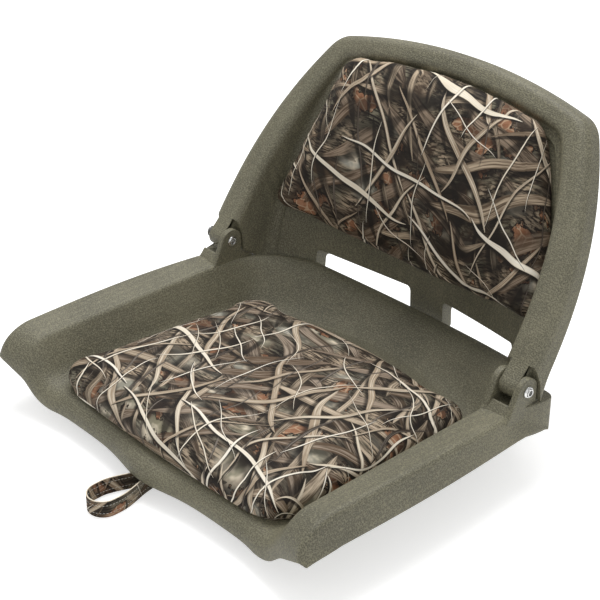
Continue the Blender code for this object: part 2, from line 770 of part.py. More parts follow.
def back_outline(banded, extra, bend):
    """Right half of a line round the back as (x, v), from its foot up to the centre of its top.

    It lies inside the outer crease by the flange's width where banded is 1, and by extra besides.
    """
    def side_x(v):
        band = BAND_WIDTH_LOW + (BAND_WIDTH_HIGH - BAND_WIDTH_LOW) * v / BACK_HEIGHT
        return flange_x(v) - banded * band - extra

    def top_v(x):
        return BACK_HEIGHT - BACK_CROWN * (x / BACK_CROWN_X) ** 2 - banded * ARCH_BAND_WIDTH - extra

    corner_v = BACK_HEIGHT
    for _ in range(20):
        corner_v = top_v(side_x(corner_v))
    side = []
    for i in range(SIDE_STEPS):
        v = FLANGE_FOOT_V + (corner_v - FLANGE_FOOT_V) * i / SIDE_STEPS
        side.append(np.array([side_x(v), v]))
    corner = np.array([side_x(corner_v), corner_v])
    top = []
    for i in range(1, TOP_STEPS + 1):
        x = corner[0] * (1 - i / TOP_STEPS)
        top.append(np.array([x, top_v(x)]))
    return side + rounded_corner(side[-1], corner, top[0], bend, 5) + top


def back_row(edge, crease, inside, foot):
    """One row of the back shell's front surface, from the outer wall's rear edge to the panel's middle."""
    flare = FOOT_FLARE * max(1 - edge[1] / FOOT_FLARE_V, 0) ** 2
    rear = back_place(edge[0], edge[1], FLANGE_FRONT_OFF + OUTER_WALL_DEPTH + flare)
    outer = back_place(crease[0], crease[1], FLANGE_FRONT_OFF)
    inner = back_place(inside[0], inside[1], FLANGE_FRONT_OFF)
    base = back_place(foot[0], foot[1], dish_off(foot[0], foot[1]))
    depth = np.linalg.norm(base - inner)
    panel = []
    for share in PANEL_SHARES:
        x = foot[0] * (1 - share)
        v = foot[1] + (min(foot[1], DISH_FOCUS_V) - foot[1]) * share
        if foot[1] == FLANGE_FOOT_V:
            v = foot_v(x)
        panel.append(back_place(x, v, dish_off(x, v)))
    row = [rear, (rear + outer) / 2]
    row += rounded_corner(rear, outer, inner, OUTER_FILLET, 4)
    row += rounded_corner(outer, inner, base, min(INNER_FILLET, depth * FILLET_LIMIT_SHARE), 3)
    row.append((inner + base) / 2)
    row += rounded_corner(inner, base, panel[0], min(FOOT_FILLET, depth * FILLET_LIMIT_SHARE), 4)
    return row + panel


def back_sheet():
    """The back shell's front surface as rows of points from the left foot over the top to the right foot."""
    rings = zip(back_outline(0, -OUTER_WALL_DRAFT, BACK_CORNER_ROUND), back_outline(0, 0, BACK_CORNER_ROUND),
                back_outline(1, 0, BACK_INNER_ROUND), back_outline(1, INNER_DRAFT, BACK_INNER_ROUND))
    right = [back_row(*points) for points in rings]
    left = [[p * [-1, 1, 1] for p in row] for row in right[:-1]]
    return left + list(reversed(right))


def panel_patch(x_from, x_to, low, high, ahead):
    """A piece of the panel's surface moved forward by ahead; low and high give v at x."""
    points = []
    for i in range(COLLAR_ROWS + 1):
        line = []
        for j in range(COLLAR_COLUMNS + 1):
            x = x_from + (x_to - x_from) * j / COLLAR_COLUMNS
            v = low(x) + (high(x) - low(x)) * i / COLLAR_ROWS
            line.append(back_place(x, v, dish_off(x, v) - ahead))
        points.append(line)
    return points


def slot_top(x):
    """The height along the slant of a slot's upper edge."""
    share = (abs(x) - SLOT_INNER_X) / (SLOT_OUTER_X - SLOT_INNER_X)
    return SLOT_TOP_INNER_V + (SLOT_TOP_OUTER_V - SLOT_TOP_INNER_V) * share


def slot_outline():
    """The slot seen square to the slant, as (x, v), with rounded upper corners."""
    low = -OVERRUN
    inner_top = np.array([SLOT_INNER_X, slot_top(SLOT_INNER_X)])
    outer_top = np.array([SLOT_OUTER_X, slot_top(SLOT_OUTER_X)])
    points = [np.array([SLOT_INNER_X, low])]
    points += rounded_corner((SLOT_INNER_X, low), inner_top, outer_top, SLOT_CORNER, 5)
    points += rounded_corner(inner_top, outer_top, (SLOT_OUTER_X, low), SLOT_CORNER, 5)
    points.append(np.array([SLOT_OUTER_X, low]))
    return points


def knuckle_outline():
    """The side view of the solid arm end round the hinge pin, as (v, off)."""
    points = arc((0, 0), KNUCKLE_RADIUS, *KNUCKLE_ANGLES, ROUND_SIDES // 2 + 1)
    points.append((KNUCKLE_ARM_V, FLANGE_FRONT_OFF + SHELL_WALL / 2))
    points.append((KNUCKLE_ARM_V, FLANGE_FRONT_OFF + KNUCKLE_ARM_DEPTH))
    return points


def slant_place(point, x):
    """Places a (v, off) outline point at x."""
    return tuple(back_place(x, point[0], point[1]))


def notch_outline():
    """The side view of the room that the flange leaves for an ear, as (v, off)."""
    points = notch_line(0)
    points.append((-OVERRUN, NOTCH_REAR_OFF))
    points.append((-OVERRUN, -OVERRUN))
    points.append((NOTCH_FRONT_V, -OVERRUN))
    return points


def notch_line(thickness):
    """The notch's inner line from the flange's front round the ear to the foot, moved back by a thickness."""
    first, last = (math.radians(angle) for angle in NOTCH_ANGLES)
    start = (NOTCH_FRONT_V + thickness * math.cos(first), FLANGE_FRONT_OFF + thickness * math.sin(first))
    end = (NOTCH_REAR_V + thickness * math.cos(last), NOTCH_REAR_OFF + thickness * math.sin(last))
    return [start] + arc((0, 0), NOTCH_RADIUS + thickness, *NOTCH_ANGLES, NOTCH_STEPS) + [end]


def pocket_place(side):
    """Gives places on the wall behind a notch; its ends run in the middle of the flange's two side walls."""
    def place(point, end):
        depth = point[1] - FLANGE_FRONT_OFF
        inner_bend = INNER_FILLET * (1 - math.sqrt(min(depth / INNER_FILLET, 1))) ** 2
        outer_bend = OUTER_FILLET * (1 - math.sqrt(min(depth / OUTER_FILLET, 1))) ** 2
        inner = FLANGE_HALF_WIDTH - BAND_WIDTH_LOW + inner_bend + SHELL_WALL / 2
        outer = FLANGE_HALF_WIDTH + OUTER_WALL_DRAFT * depth / OUTER_WALL_DEPTH - outer_bend - SHELL_WALL / 2
        return slant_place(point, (inner + (outer - inner) * end) * side)
    return place


def make_back_shell(look, back):
    """The one-piece back: flange, dished panel, slots at its foot and hinge knuckles."""
    shell = add_object("back_shell", grid_mesh(back_sheet()), look, back)
    bm = bmesh.new()
    bm.from_mesh(shell.data)
    bmesh.ops.remove_doubles(bm, verts=bm.verts, dist=GAP / 10)
    bmesh.ops.dissolve_degenerate(bm, dist=GAP / 10, edges=bm.edges)
    bm.to_mesh(shell.data)
    bm.free()
    thicken(shell, SHELL_WALL)
    collar_x = SLOT_OUTER_X + COLLAR_RIM
    collar = panel_patch(-collar_x, collar_x, foot_v, lambda x: slot_top(x) + COLLAR_RIM, -SHELL_WALL / 2)
    bar = add_object("tool_collar", grid_mesh(collar), look, back)
    thicken(bar, COLLAR_DEPTH)
    combine(shell, bar, 'UNION')
    for name, side in SIDES.items():
        pocket = prism(notch_line(0) + notch_line(SHELL_WALL)[::-1], pocket_place(side), 0, 1)
        combine(shell, add_object("tool_pocket_" + name, pocket, look, back), 'UNION')
        inner, outer, room_inner, room_outer = hinge_spans(side)
        knuckle_inner = room_inner + RUN_GAP * side
        knuckle_outer = room_outer - RUN_GAP * side
        spans = {"in": (inner - OVERRUN * side, knuckle_inner),
                 "out": (knuckle_outer, outer + OVERRUN * side)}
        for part, (start, end) in spans.items():
            notch = prism(notch_outline(), slant_place, start, end)
            combine(shell, add_object(f"tool_notch_{part}_{name}", notch, look, back), 'DIFFERENCE')
        knuckle = prism(knuckle_outline(), slant_place, knuckle_inner, knuckle_outer)
        combine(shell, add_object("tool_knuckle_" + name, knuckle, look, back), 'UNION')
        bore_radius = PIN_RADIUS + GAP + BUSHING_WALL + GAP
        bore_start = (knuckle_inner - RUN_GAP * side, 0, 0)
        bore = rod(bore_start, (side, 0, 0), EAR_BLOCK_WIDTH - 2 * EAR_THICKNESS, bore_radius)
        combine(shell, add_object("tool_knuckle_bore_" + name, bore, look, back), 'DIFFERENCE')
        slot = prism([p * [side, 1] for p in slot_outline()], slot_place, DISH_TOP_OFF, DISH_DEPTH * 2)
        combine(shell, add_object("tool_slot_" + name, slot, look, back), 'DIFFERENCE')
    for i, (x, v) in enumerate(back_screw_places()):
        bore = rod(on_panel(x, v, -OVERRUN), panel_normal(x, v), 2 * OVERRUN, SCREW_RADIUS + GAP, SMALL_SIDES)
        combine(shell, add_object(f"tool_back_bore_{i}", bore, look, back), 'DIFFERENCE')
    return shell


def slot_place(point, off):
    """Places an (x, v) outline point at a depth."""
    return tuple(back_place(point[0], point[1], off))


def back_screw_places():
    """The four screws that hold the back cushion, as (x, v)."""
    low = [(sx * BACK_SCREW_LOW_X, BACK_SCREW_LOW_V) for sx in (-1, 1)]
    return low + [(sx * BACK_SCREW_TOP_X, BACK_SCREW_TOP_V) for sx in (-1, 1)]


def make_hinges(steel, nylon, seat, back):
    """Per side a headed pin, its outer retainer and the sleeve it turns in."""
    for name, side in SIDES.items():
        inner, outer, room_inner, room_outer = hinge_spans(side)
        start = inner - GAP * side
        reach = EAR_BLOCK_WIDTH + 2 * GAP + RETAINER_HEIGHT + PIN_TAIL
        head = PIN_HEAD_HEIGHT
        profile = [(PIN_SOCKET_DEPTH - head, 0), (PIN_SOCKET_DEPTH - head, PIN_SOCKET_RADIUS),
                   (-head, PIN_SOCKET_RADIUS), (-head, PIN_HEAD_RADIUS * DOME_SHARE),
                   (-head / 2, PIN_HEAD_RADIUS), (0, PIN_HEAD_RADIUS), (0, PIN_RADIUS), (reach, PIN_RADIUS)]
        add_object("hinge_pin_" + name, turned(profile, (start, 0, 0), (side, 0, 0)), steel, seat)
        retainer = tube((outer + GAP * side, 0, 0), (side, 0, 0), RETAINER_HEIGHT, RETAINER_RADIUS,
                        PIN_RADIUS + GAP, ROUND_SIDES)
        add_object("hinge_retainer_" + name, retainer, steel, seat)
        sleeve_start = room_inner + RUN_GAP * side
        length = EAR_BLOCK_WIDTH - 2 * EAR_THICKNESS - 2 * RUN_GAP
        sleeve = tube((sleeve_start, 0, 0), (side, 0, 0), length, PIN_RADIUS + GAP + BUSHING_WALL,
                      PIN_RADIUS + GAP, ROUND_SIDES)
        add_object("hinge_sleeve_" + name, sleeve, nylon, back)


def make_inserts(brass, seat):
    """The four threaded inserts in the mounting bosses."""
    for i, place in enumerate(mount_places()):
        length = INSERT_LENGTH - GAP
        flange = INSERT_FLANGE_THICKNESS
        profile = [(0, INSERT_BORE_RADIUS), (0, INSERT_FLANGE_RADIUS), (flange, INSERT_FLANGE_RADIUS),
                   (flange, INSERT_RADIUS), (length, INSERT_RADIUS), (length, INSERT_BORE_RADIUS)]
        sleeve = ring_solid(profile, (*place, -BASE_DROP), SMALL_SIDES)
        add_object(f"mount_insert_{i + 1}", sleeve, brass, seat)


def ring_solid(profile, origin, sides):
    """A solid turned about +Z from a closed profile that doesn't touch its axis."""
    bm = bmesh.new()
    rings = []
    for height, radius in profile:
        ring = []
        for k in range(sides):
            angle = 2 * math.pi * k / sides
            spoke = (math.cos(angle), math.sin(angle), 0)
            ring.append(bm.verts.new(np.array(origin) + np.array(spoke) * radius + (0, 0, height)))
        rings.append(ring)
    for i in range(len(rings)):
        low = rings[i]
        high = rings[(i + 1) % len(rings)]
        for k in range(sides):
            n = (k + 1) % sides
            bm.faces.new((low[k], low[n], high[n], high[k]))
    bmesh.ops.recalc_face_normals(bm, faces=bm.faces)
    return bm


def pad_outline(low, high, low_x, high_x, low_bow, high_bow, corner, power):
    """The outline of a cushion as plan points: a four-sided shape with bowed ends and round corners."""
    corners = [np.array(corner) for corner in ((-low_x, low), (low_x, low), (high_x, high), (-high_x, high))]
    points = []
    for i in range(4):
        before, here, after = corners[i - 1], corners[i], corners[(i + 1) % 4]
        bend = rounded_corner(before, here, after, corner, PAD_CORNER_STEPS)
        next_bend = rounded_corner(here, after, corners[(i + 2) % 4], corner, 2)
        points += bend
        for k in range(1, PAD_EDGE_STEPS):
            points.append(bend[-1] + (next_bend[0] - bend[-1]) * k / PAD_EDGE_STEPS)
    bowed = []
    for x, y in points:
        share = (y - low) / (high - low)
        straight = low_x + (high_x - low_x) * share
        half = low_x + (high_x - low_x) * share ** power
        arch = 1 - (x / straight) ** 2
        rise = high_bow * arch * share - low_bow * arch * (1 - share)
        bowed.append(np.array([x * half / straight, y + rise]))
    return bowed


def seat_pad_plan():
    """The outline of the seat cushion."""
    return pad_outline(SEAT_PAD_FRONT_Y + SEAT_PAD_FRONT_BOW, SEAT_PAD_REAR_Y - SEAT_PAD_REAR_BOW,
                       SEAT_PAD_FRONT_X, SEAT_PAD_REAR_X, SEAT_PAD_FRONT_BOW, SEAT_PAD_REAR_BOW,
                       SEAT_PAD_CORNER, 1)


def back_pad_plan():
    """The outline of the back cushion."""
    return pad_outline(BACK_PAD_LOW_V, BACK_PAD_TOP_V - BACK_PAD_TOP_BOW, BACK_PAD_LOW_X, BACK_PAD_TOP_X,
                       -BACK_PAD_LOW_RISE, BACK_PAD_TOP_BOW, BACK_PAD_CORNER, PAD_SIDE_POWER)


def on_pan(x, y, height):
    """A point at a height above the pan's floor."""
    return raised(np.array([x, y, pan_floor(y)]), pan_normal(), height)


def on_panel(x, v, height):
    """A point at a height in front of the back panel."""
    return raised(back_place(x, v, dish_off(x, v)), panel_normal(x, v), height)


def pad_ring(outline, inset, height, place, share=None):
    """A ring of points at a height, inset from the outline, or a share of the way from its middle to it."""
    middle = sum(outline) / len(outline)
    ring = []
    for point in outline:
        arm = point - middle
        length = np.linalg.norm(arm)
        reach = length - inset if share is None else share * (length - inset)
        at = middle + arm * reach / length
        ring.append(place(at[0], at[1], height))
    return ring


def narrowed(outline, inset):
    """An outline moved inwards square to itself."""
    moved = []
    for i, point in enumerate(outline):
        run = outline[(i + 1) % len(outline)] - outline[i - 1]
        run = run / np.linalg.norm(run)
        moved.append(point + np.array([-run[1], run[0]]) * inset)
    return moved


def padded_rings(outline, edge, crown, floor, place):
    """The rings of a cushion's crowned top and drawn-in sides, from the middle out and down to the floor."""
    rings = []
    for share in PAD_TOP_SHARES:
        rings.append(pad_ring(outline, 0, edge + (crown - edge) * (1 - share ** 2), place, share))
    for inset_share, drop_share in PAD_ROLL_SHARES:
        rings.append(pad_ring(outline, PAD_ROUND * inset_share, edge - PAD_ROUND * drop_share, place))
    for inset_share, height_share in PAD_SIDE_SHARES:
        height = floor + (edge - PAD_ROUND - floor) * height_share
        rings.append(pad_ring(outline, PAD_DRAW_IN * inset_share, height, place))
    return rings


def ring_mesh(rings, pole, closing_pole=None):
    """A surface through rings, closed at its first ring by a pole and, where given, at its last by another.

    Every cell is split from its inner ring's corner to its outer ring's next one, so that layers with the
    same rings stay parallel.
    """
    bm = bmesh.new()
    lines = [[bm.verts.new(p) for p in ring] for ring in rings]
    count = len(lines[0])
    start = bm.verts.new(pole)
    for k in range(count):
        bm.faces.new((start, lines[0][k], lines[0][(k + 1) % count]))
    for low, high in zip(lines, lines[1:]):
        outward = (high[0].co - start.co).length > (low[0].co - start.co).length
        for k in range(count):
            n = (k + 1) % count
            if outward:
                bm.faces.new((low[k], high[k], high[n]))
                bm.faces.new((low[k], high[n], low[n]))
            else:
                bm.faces.new((low[k], high[k], low[n]))
                bm.faces.new((high[k], high[n], low[n]))
    if closing_pole is not None:
        end = bm.verts.new(closing_pole)
        for k in range(count):
            bm.faces.new((end, lines[-1][(k + 1) % count], lines[-1][k]))
    return bm


def under_rings(outline, height, place):
    """The rings of a pad's flat underside from its board's edge inwards, which board and foam share."""
    rings = [pad_ring(outline, PAD_DRAW_IN + BOARD_INSET, height, place)]
    rings.append(pad_ring(outline, PAD_DRAW_IN + WRAP_WIDTH, height, place))
    for share in PAD_UNDER_SHARES:
        rings.append(pad_ring(outline, PAD_DRAW_IN + WRAP_WIDTH, height, place, share))
    return rings


def pad_levels(seat_gap):
    """The heights of a cushion's layers over its shell: the cover's underside and the board's two faces."""
    low = seat_gap + COVER_THICKNESS + LAYER_GAP
    return seat_gap, low, low + BOARD_THICKNESS


def make_pad(name, outline, edge, crown, seat_gap, place, looks, parent):
    """One cushion: a stiff board, the foam on it and the cover over both, wrapped under the board."""
    middle = sum(outline) / len(outline)
    floor, board_low, board_high = pad_levels(seat_gap)
    rings = padded_rings(outline, edge, crown, floor, place)
    rings.append(pad_ring(outline, PAD_DRAW_IN + BOARD_INSET, floor, place))
    rings.append(pad_ring(outline, PAD_DRAW_IN + WRAP_WIDTH, floor, place))
    cover = add_object(name + "_cover", ring_mesh(rings, place(*middle, crown)), looks["cover"], parent, 60)
    thicken(cover, COVER_THICKNESS)
    board_rings = under_rings(outline, board_high, place)[::-1]
    board_rings += under_rings(outline, board_low, place)
    board_mesh = ring_mesh(board_rings, place(*middle, board_high), place(*middle, board_low))
    board = add_object(name + "_board", board_mesh, looks["board"], parent)
    shrink = COVER_THICKNESS + LAYER_GAP
    foam_floor = board_high + GAP
    foam_rings = padded_rings(narrowed(outline, shrink), edge - shrink, crown - shrink, foam_floor, place)
    foam_rings += under_rings(outline, foam_floor, place)
    foam_mesh = ring_mesh(foam_rings, place(*middle, crown - shrink), place(*middle, foam_floor))
    add_object(name + "_foam", foam_mesh, looks["foam"], parent, 60)
    return board


def screw(name, seat_point, into, reach, look, parent, tool_target):
    """A pan-head screw from a shell into a board, with the hole that it leaves in the board."""
    head = SCREW_HEAD_HEIGHT
    profile = [(-head - GAP, SCREW_HEAD_RADIUS * DOME_SHARE), (-head / 2 - GAP, SCREW_HEAD_RADIUS),
               (-GAP, SCREW_HEAD_RADIUS), (-GAP, SCREW_RADIUS), (reach, SCREW_RADIUS)]
    add_object(name, turned(profile, seat_point, into, SMALL_SIDES), look, parent)
    hole = rod(seat_point, into, reach + GAP, SCREW_RADIUS + GAP, SMALL_SIDES)
    combine(tool_target, add_object("tool_" + name, hole, look, parent), 'DIFFERENCE')


def make_cushions(looks, steel, seat, back):
    """Both cushions and the four screws that hold each from behind its shell."""
    board = make_pad("seat_pad", seat_pad_plan(), SEAT_PAD_EDGE, SEAT_PAD_CROWN, GAP, on_pan, looks, seat)
    reach = SHELL_WALL + pad_levels(GAP)[1] + SCREW_BITE
    for i, (x, y) in enumerate(seat_screw_places()):
        start = on_pan(x, y, -SHELL_WALL)
        screw(f"seat_pad_screw_{i + 1}", start, pan_normal(), reach, steel, seat, board)
    board = make_pad("back_pad", back_pad_plan(), BACK_PAD_EDGE, BACK_PAD_CROWN, PANEL_SEAT_GAP, on_panel,
                     looks, back)
    reach = SHELL_WALL + pad_levels(PANEL_SEAT_GAP)[1] + SCREW_BITE
    for i, (x, v) in enumerate(back_screw_places()):
        start = on_panel(x, v, -SHELL_WALL - PANEL_HEAD_GAP)
        length = reach + PANEL_HEAD_GAP
        screw(f"back_pad_screw_{i + 1}", start, panel_normal(x, v), length, steel, back, board)


def strap_path():
    """The middle line of the hold-down strap in plan: out from its lug, round the loop and back."""
    beside = lug_span()[1] + STRAP_THICKNESS / 2 + GAP
    radius = STRAP_LOOP_HALF_WIDTH
    turn_y = STRAP_NOSE_Y + radius
    points = [(beside, STRAP_ANCHOR_Y + STRAP_END_LENGTH), (beside, STRAP_ANCHOR_Y - LUG_LENGTH / 2),
              (beside, STRAP_WAIST_Y), (STRAP_CENTRE_X + radius, turn_y + radius)]
    turn = arc((STRAP_CENTRE_X, turn_y), radius, 0, -180, ROUND_SIDES // 2 - 3)
    back_again = [(2 * STRAP_CENTRE_X - x, y) for x, y in reversed(points)]
    return [np.array(point) for point in points + turn + back_again]


def ribbon_outline(path, thickness):
    """The outline of a strip of a thickness along a path."""
    one = []
    other = []
    for i, here in enumerate(path):
        run = path[min(i + 1, len(path) - 1)] - path[max(i - 1, 0)]
        run = run / np.linalg.norm(run)
        side = np.array([-run[1], run[0]])
        one.append(here + side * thickness / 2)
        other.append(here - side * thickness / 2)
    return one + list(reversed(other))


def strap_place(point, height):
    """Places a plan point at a height."""
    return (point[0], point[1], height)


def make_strap(webbing, steel, seat):
    """The webbing loop under the front lip, with the bolt, washer and nut that hold both its ends."""
    low, high = strap_levels()
    middle = (low + high) / 2
    ribbon = prism(ribbon_outline(strap_path(), STRAP_THICKNESS), strap_place, low, high)
    strap = add_object("hold_down_strap", ribbon, webbing, seat)
    outer = lug_span()[1] + GAP + STRAP_THICKNESS + GAP
    width = 2 * (outer - STRAP_CENTRE_X)
    far_side = outer - width
    bore = STRAP_SCREW_RADIUS + GAP
    hole_start = (far_side - OVERRUN, STRAP_ANCHOR_Y, middle)
    hole = rod(hole_start, (1, 0, 0), width + 2 * OVERRUN, bore, SMALL_SIDES)
    combine(strap, add_object("tool_strap_hole", hole, webbing, seat), 'DIFFERENCE')
    washer = tube((outer, STRAP_ANCHOR_Y, middle), (1, 0, 0), STRAP_WASHER_THICKNESS,
                  STRAP_WASHER_RADIUS, bore, SMALL_SIDES)
    add_object("strap_washer", washer, steel, seat)
    head = STRAP_SCREW_HEAD_HEIGHT
    grip = STRAP_WASHER_THICKNESS + GAP + width + GAP + STRAP_NUT_THICKNESS
    profile = [(-head, STRAP_SCREW_HEAD_RADIUS * DOME_SHARE), (-head / 2, STRAP_SCREW_HEAD_RADIUS),
               (0, STRAP_SCREW_HEAD_RADIUS), (0, STRAP_SCREW_RADIUS),
               (grip + STRAP_SCREW_RADIUS, STRAP_SCREW_RADIUS)]
    start = (outer + STRAP_WASHER_THICKNESS + GAP, STRAP_ANCHOR_Y, middle)
    add_object("strap_bolt", turned(profile, start, (-1, 0, 0), SMALL_SIDES), steel, seat)
    nut_start = (far_side - GAP - STRAP_NUT_THICKNESS, STRAP_ANCHOR_Y, middle)
    nut = add_object("strap_nut", rod(nut_start, (1, 0, 0), STRAP_NUT_THICKNESS, STRAP_NUT_RADIUS, NUT_SIDES),
                     steel, seat)
    thread = rod(hole_start, (1, 0, 0), 2 * OVERRUN, bore, SMALL_SIDES)
    combine(nut, add_object("tool_nut_bore", thread, steel, seat), 'DIFFERENCE')


def stand_on_floor(seat):
    """Lifts the seat onto z = 0 and centres its outline on the origin."""
    bpy.context.view_layer.update()
    shaped = bpy.context.evaluated_depsgraph_get()
    low = np.full(3, np.inf)
    high = np.full(3, -np.inf)
    for item in bpy.data.objects:
        if item.type != 'MESH' or item.hide_render:
            continue
        mesh = item.evaluated_get(shaped).to_mesh()
        flat = np.empty(len(mesh.vertices) * 3, dtype=np.float32)
        mesh.vertices.foreach_get("co", flat)
        points = flat.reshape(-1, 3)
        low = np.minimum(low, points.min(axis=0))
        high = np.maximum(high, points.max(axis=0))
    seat.location = (-(low[0] + high[0]) / 2, -(low[1] + high[1]) / 2, -low[2])
    bpy.context.view_layer.update()


def main():
    """Builds every part on the hinge axis, then stands the seat on the floor."""
    clear_scene()
    seat = bpy.data.objects.new("seat_frame", None)
    back = bpy.data.objects.new("back_fold_axis", None)
    for empty in (seat, back):
        bpy.context.collection.objects.link(empty)
    back.parent = seat
    olive = material("olive plastic", (0.12, 0.115, 0.078), 0.5, 0)
    steel = material("stainless steel", (0.75, 0.75, 0.74), 0.25, 1)
    brass = material("brass", (0.6, 0.45, 0.2), 0.35, 1)
    nylon = material("nylon", (0.75, 0.74, 0.68), 0.4, 0)
    webbing = material("webbing", (0.16, 0.12, 0.08), 0.85, 0)
    looks = {"cover": material("printed fabric", (0.2, 0.14, 0.09), 0.8, 0),
             "foam": material("foam", (0.8, 0.78, 0.6), 0.9, 0),
             "board": material("board", (0.05, 0.05, 0.05), 0.6, 0)}
    make_seat_shell(olive, seat)
    make_back_shell(olive, back)
    make_hinges(steel, nylon, seat, back)
    make_inserts(brass, seat)
    make_cushions(looks, steel, seat, back)
    make_strap(webbing, steel, seat)
    stand_on_floor(seat)


main()
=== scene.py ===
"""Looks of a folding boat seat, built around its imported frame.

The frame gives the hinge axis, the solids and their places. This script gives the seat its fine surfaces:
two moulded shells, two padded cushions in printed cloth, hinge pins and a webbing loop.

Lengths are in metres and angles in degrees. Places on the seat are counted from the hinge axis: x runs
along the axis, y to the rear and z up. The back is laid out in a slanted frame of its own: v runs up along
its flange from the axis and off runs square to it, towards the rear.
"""

import json
import logging
import math
from dataclasses import dataclass, field
from enum import Enum
from functools import cached_property
from typing import Callable, Sequence

import bmesh
import bpy
import numpy as np
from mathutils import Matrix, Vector


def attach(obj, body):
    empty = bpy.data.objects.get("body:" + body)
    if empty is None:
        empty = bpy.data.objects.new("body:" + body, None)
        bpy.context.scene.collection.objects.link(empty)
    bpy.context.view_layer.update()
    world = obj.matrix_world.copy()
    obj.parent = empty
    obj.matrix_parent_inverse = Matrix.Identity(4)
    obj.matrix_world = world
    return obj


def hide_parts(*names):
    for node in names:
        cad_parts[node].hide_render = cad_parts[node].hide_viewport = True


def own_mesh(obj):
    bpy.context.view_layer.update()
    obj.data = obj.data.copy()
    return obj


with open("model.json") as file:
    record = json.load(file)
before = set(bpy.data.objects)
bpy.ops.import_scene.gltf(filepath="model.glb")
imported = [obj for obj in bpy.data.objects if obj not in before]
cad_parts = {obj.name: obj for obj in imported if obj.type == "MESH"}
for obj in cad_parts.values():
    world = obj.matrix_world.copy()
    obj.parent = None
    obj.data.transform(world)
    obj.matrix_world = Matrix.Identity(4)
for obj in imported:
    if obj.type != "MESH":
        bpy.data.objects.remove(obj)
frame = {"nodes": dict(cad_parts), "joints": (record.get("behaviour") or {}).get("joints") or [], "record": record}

log = logging.getLogger("boat_seat")

Array = np.ndarray
Place = Callable[[Array, Array, Array], Array]
Colour = tuple[float, float, float]
Piece = bpy.types.Object
Tree = bpy.types.NodeTree
Node = bpy.types.Node
Socket = bpy.types.NodeSocket
Value = float | Colour | Socket

HINGE = np.array(frame["joints"][0]["pos_m"], dtype=float)
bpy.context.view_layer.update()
MIRROR_X = np.array([-1.0, 1.0, 1.0])
CLOTH_PLACE = "cloth_place"
BEND_LIMIT_SHARE = 0.45
SMOOTH_ANGLE = 38.0
MERGE_DISTANCE = 1e-6
TINY = 1e-12


class Body(Enum):
    """The two moving bodies of the frame."""

    SEAT = "seat"
    BACK = "back"


class Stretch(Enum):
    """The stretches of the seat's surface, from front to rear."""

    LIP = "lip"
    PAN = "pan"
    RISE = "rise"
    EDGE = "edge"


class Side(Enum):
    """The two hinge sides, with the sign of their x."""

    LEFT = -1
    RIGHT = 1


def unit(vectors: Array) -> Array:
    """Vectors scaled to length one along the last axis."""
    length = np.linalg.norm(vectors, axis=-1, keepdims=True)
    return vectors / np.maximum(length, TINY)


def grid_quads(rows: int, columns: int, wrap: bool = False) -> Array:
    """Faces of a grid of vertices.

    Args:
        rows: how many rows of vertices there are.
        columns: how many vertices a row has.
        wrap: whether the last column joins the first one.

    Returns:
        An array of four vertex numbers per face, turning the same way all over.
    """
    index = np.arange(rows * columns).reshape(rows, columns)
    if wrap:
        index = np.concatenate([index, index[:, :1]], axis=1)
    corners = [index[:-1, :-1], index[:-1, 1:], index[1:, 1:], index[1:, :-1]]
    return np.stack(corners, axis=-1).reshape(-1, 4)


def vertex_normals(points: Array, quads: Array) -> Array:
    """Directions square to a surface: the sum, at each vertex, of the crossed diagonals of its faces.

    Args:
        points: the vertices.
        quads: the faces.

    Returns:
        One direction per vertex.
    """
    corner = points[quads]
    crossed = np.cross(corner[:, 2] - corner[:, 0], corner[:, 3] - corner[:, 1])
    total = np.zeros_like(points)
    for k in range(4):
        np.add.at(total, quads[:, k], crossed)
    return unit(total)


def open_edges(quads: Array) -> tuple[Array, Array]:
    """Starts and ends of the edges that only one face has, each run the way that its face turns.

    Args:
        quads: the faces.

    Returns:
        The vertex numbers of the starts and of the ends.
    """
    start = quads.ravel()
    end = np.roll(quads, -1, axis=1).ravel()
    size = quads.max() + 1
    alone = ~np.isin(start * size + end, end * size + start)
    return start[alone], end[alone]


def thick_shell(points: Array, quads: Array, wall: float, steps: int = 5) -> tuple[Array, Array]:
    """Gives an open sheet a wall on its back and a round rim.

    The back is the sheet moved by the wall against its normals. The rim is a half circle: at turn t from
    zero to pi, a rim point is the middle of the wall plus half the wall times the cosine of t along the
    normal and the sine of t out of the sheet.

    Args:
        points: vertices of the sheet.
        quads: its faces, which point to the front.
        wall: thickness of the wall.
        steps: how many faces the rim has from front to back.

    Returns:
        Vertices and faces of the closed body.
    """
    count = len(points)
    normal = vertex_normals(points, quads)
    start, end = open_edges(quads)
    run = unit(points[end] - points[start])
    outward = np.zeros_like(points)
    np.add.at(outward, start, np.cross(run, normal[start]))
    np.add.at(outward, end, np.cross(run, normal[end]))
    edge = np.unique(start)
    outward = unit(outward[edge])
    number = np.zeros(count, dtype=int)
    number[edge] = np.arange(len(edge))
    turn = np.linspace(0, math.pi, steps + 1)[1:-1, None, None]
    middle = points[edge] - normal[edge] * wall / 2
    arcs = middle + wall / 2 * (np.cos(turn) * normal[edge] + np.sin(turn) * outward)
    levels = [edge]
    levels += [2 * count + k * len(edge) + np.arange(len(edge)) for k in range(steps - 1)]
    levels.append(edge + count)
    first, second = number[start], number[end]
    rim = [np.stack([low[second], low[first], high[first], high[second]], axis=-1)
           for low, high in zip(levels, levels[1:])]
    vertices = np.concatenate([points, points - normal * wall, arcs.reshape(-1, 3)])
    return vertices, np.concatenate([quads, quads[:, ::-1] + count, *rim])


def welded(points: Array, quads: Array, digits: int = 7) -> tuple[Array, Array]:
    """Joins vertices that lie at the same place, so that neighbouring grids share their edges."""
    _, first, number = np.unique(points.round(digits), axis=0, return_index=True, return_inverse=True)
    return points[first], number.reshape(-1)[quads]


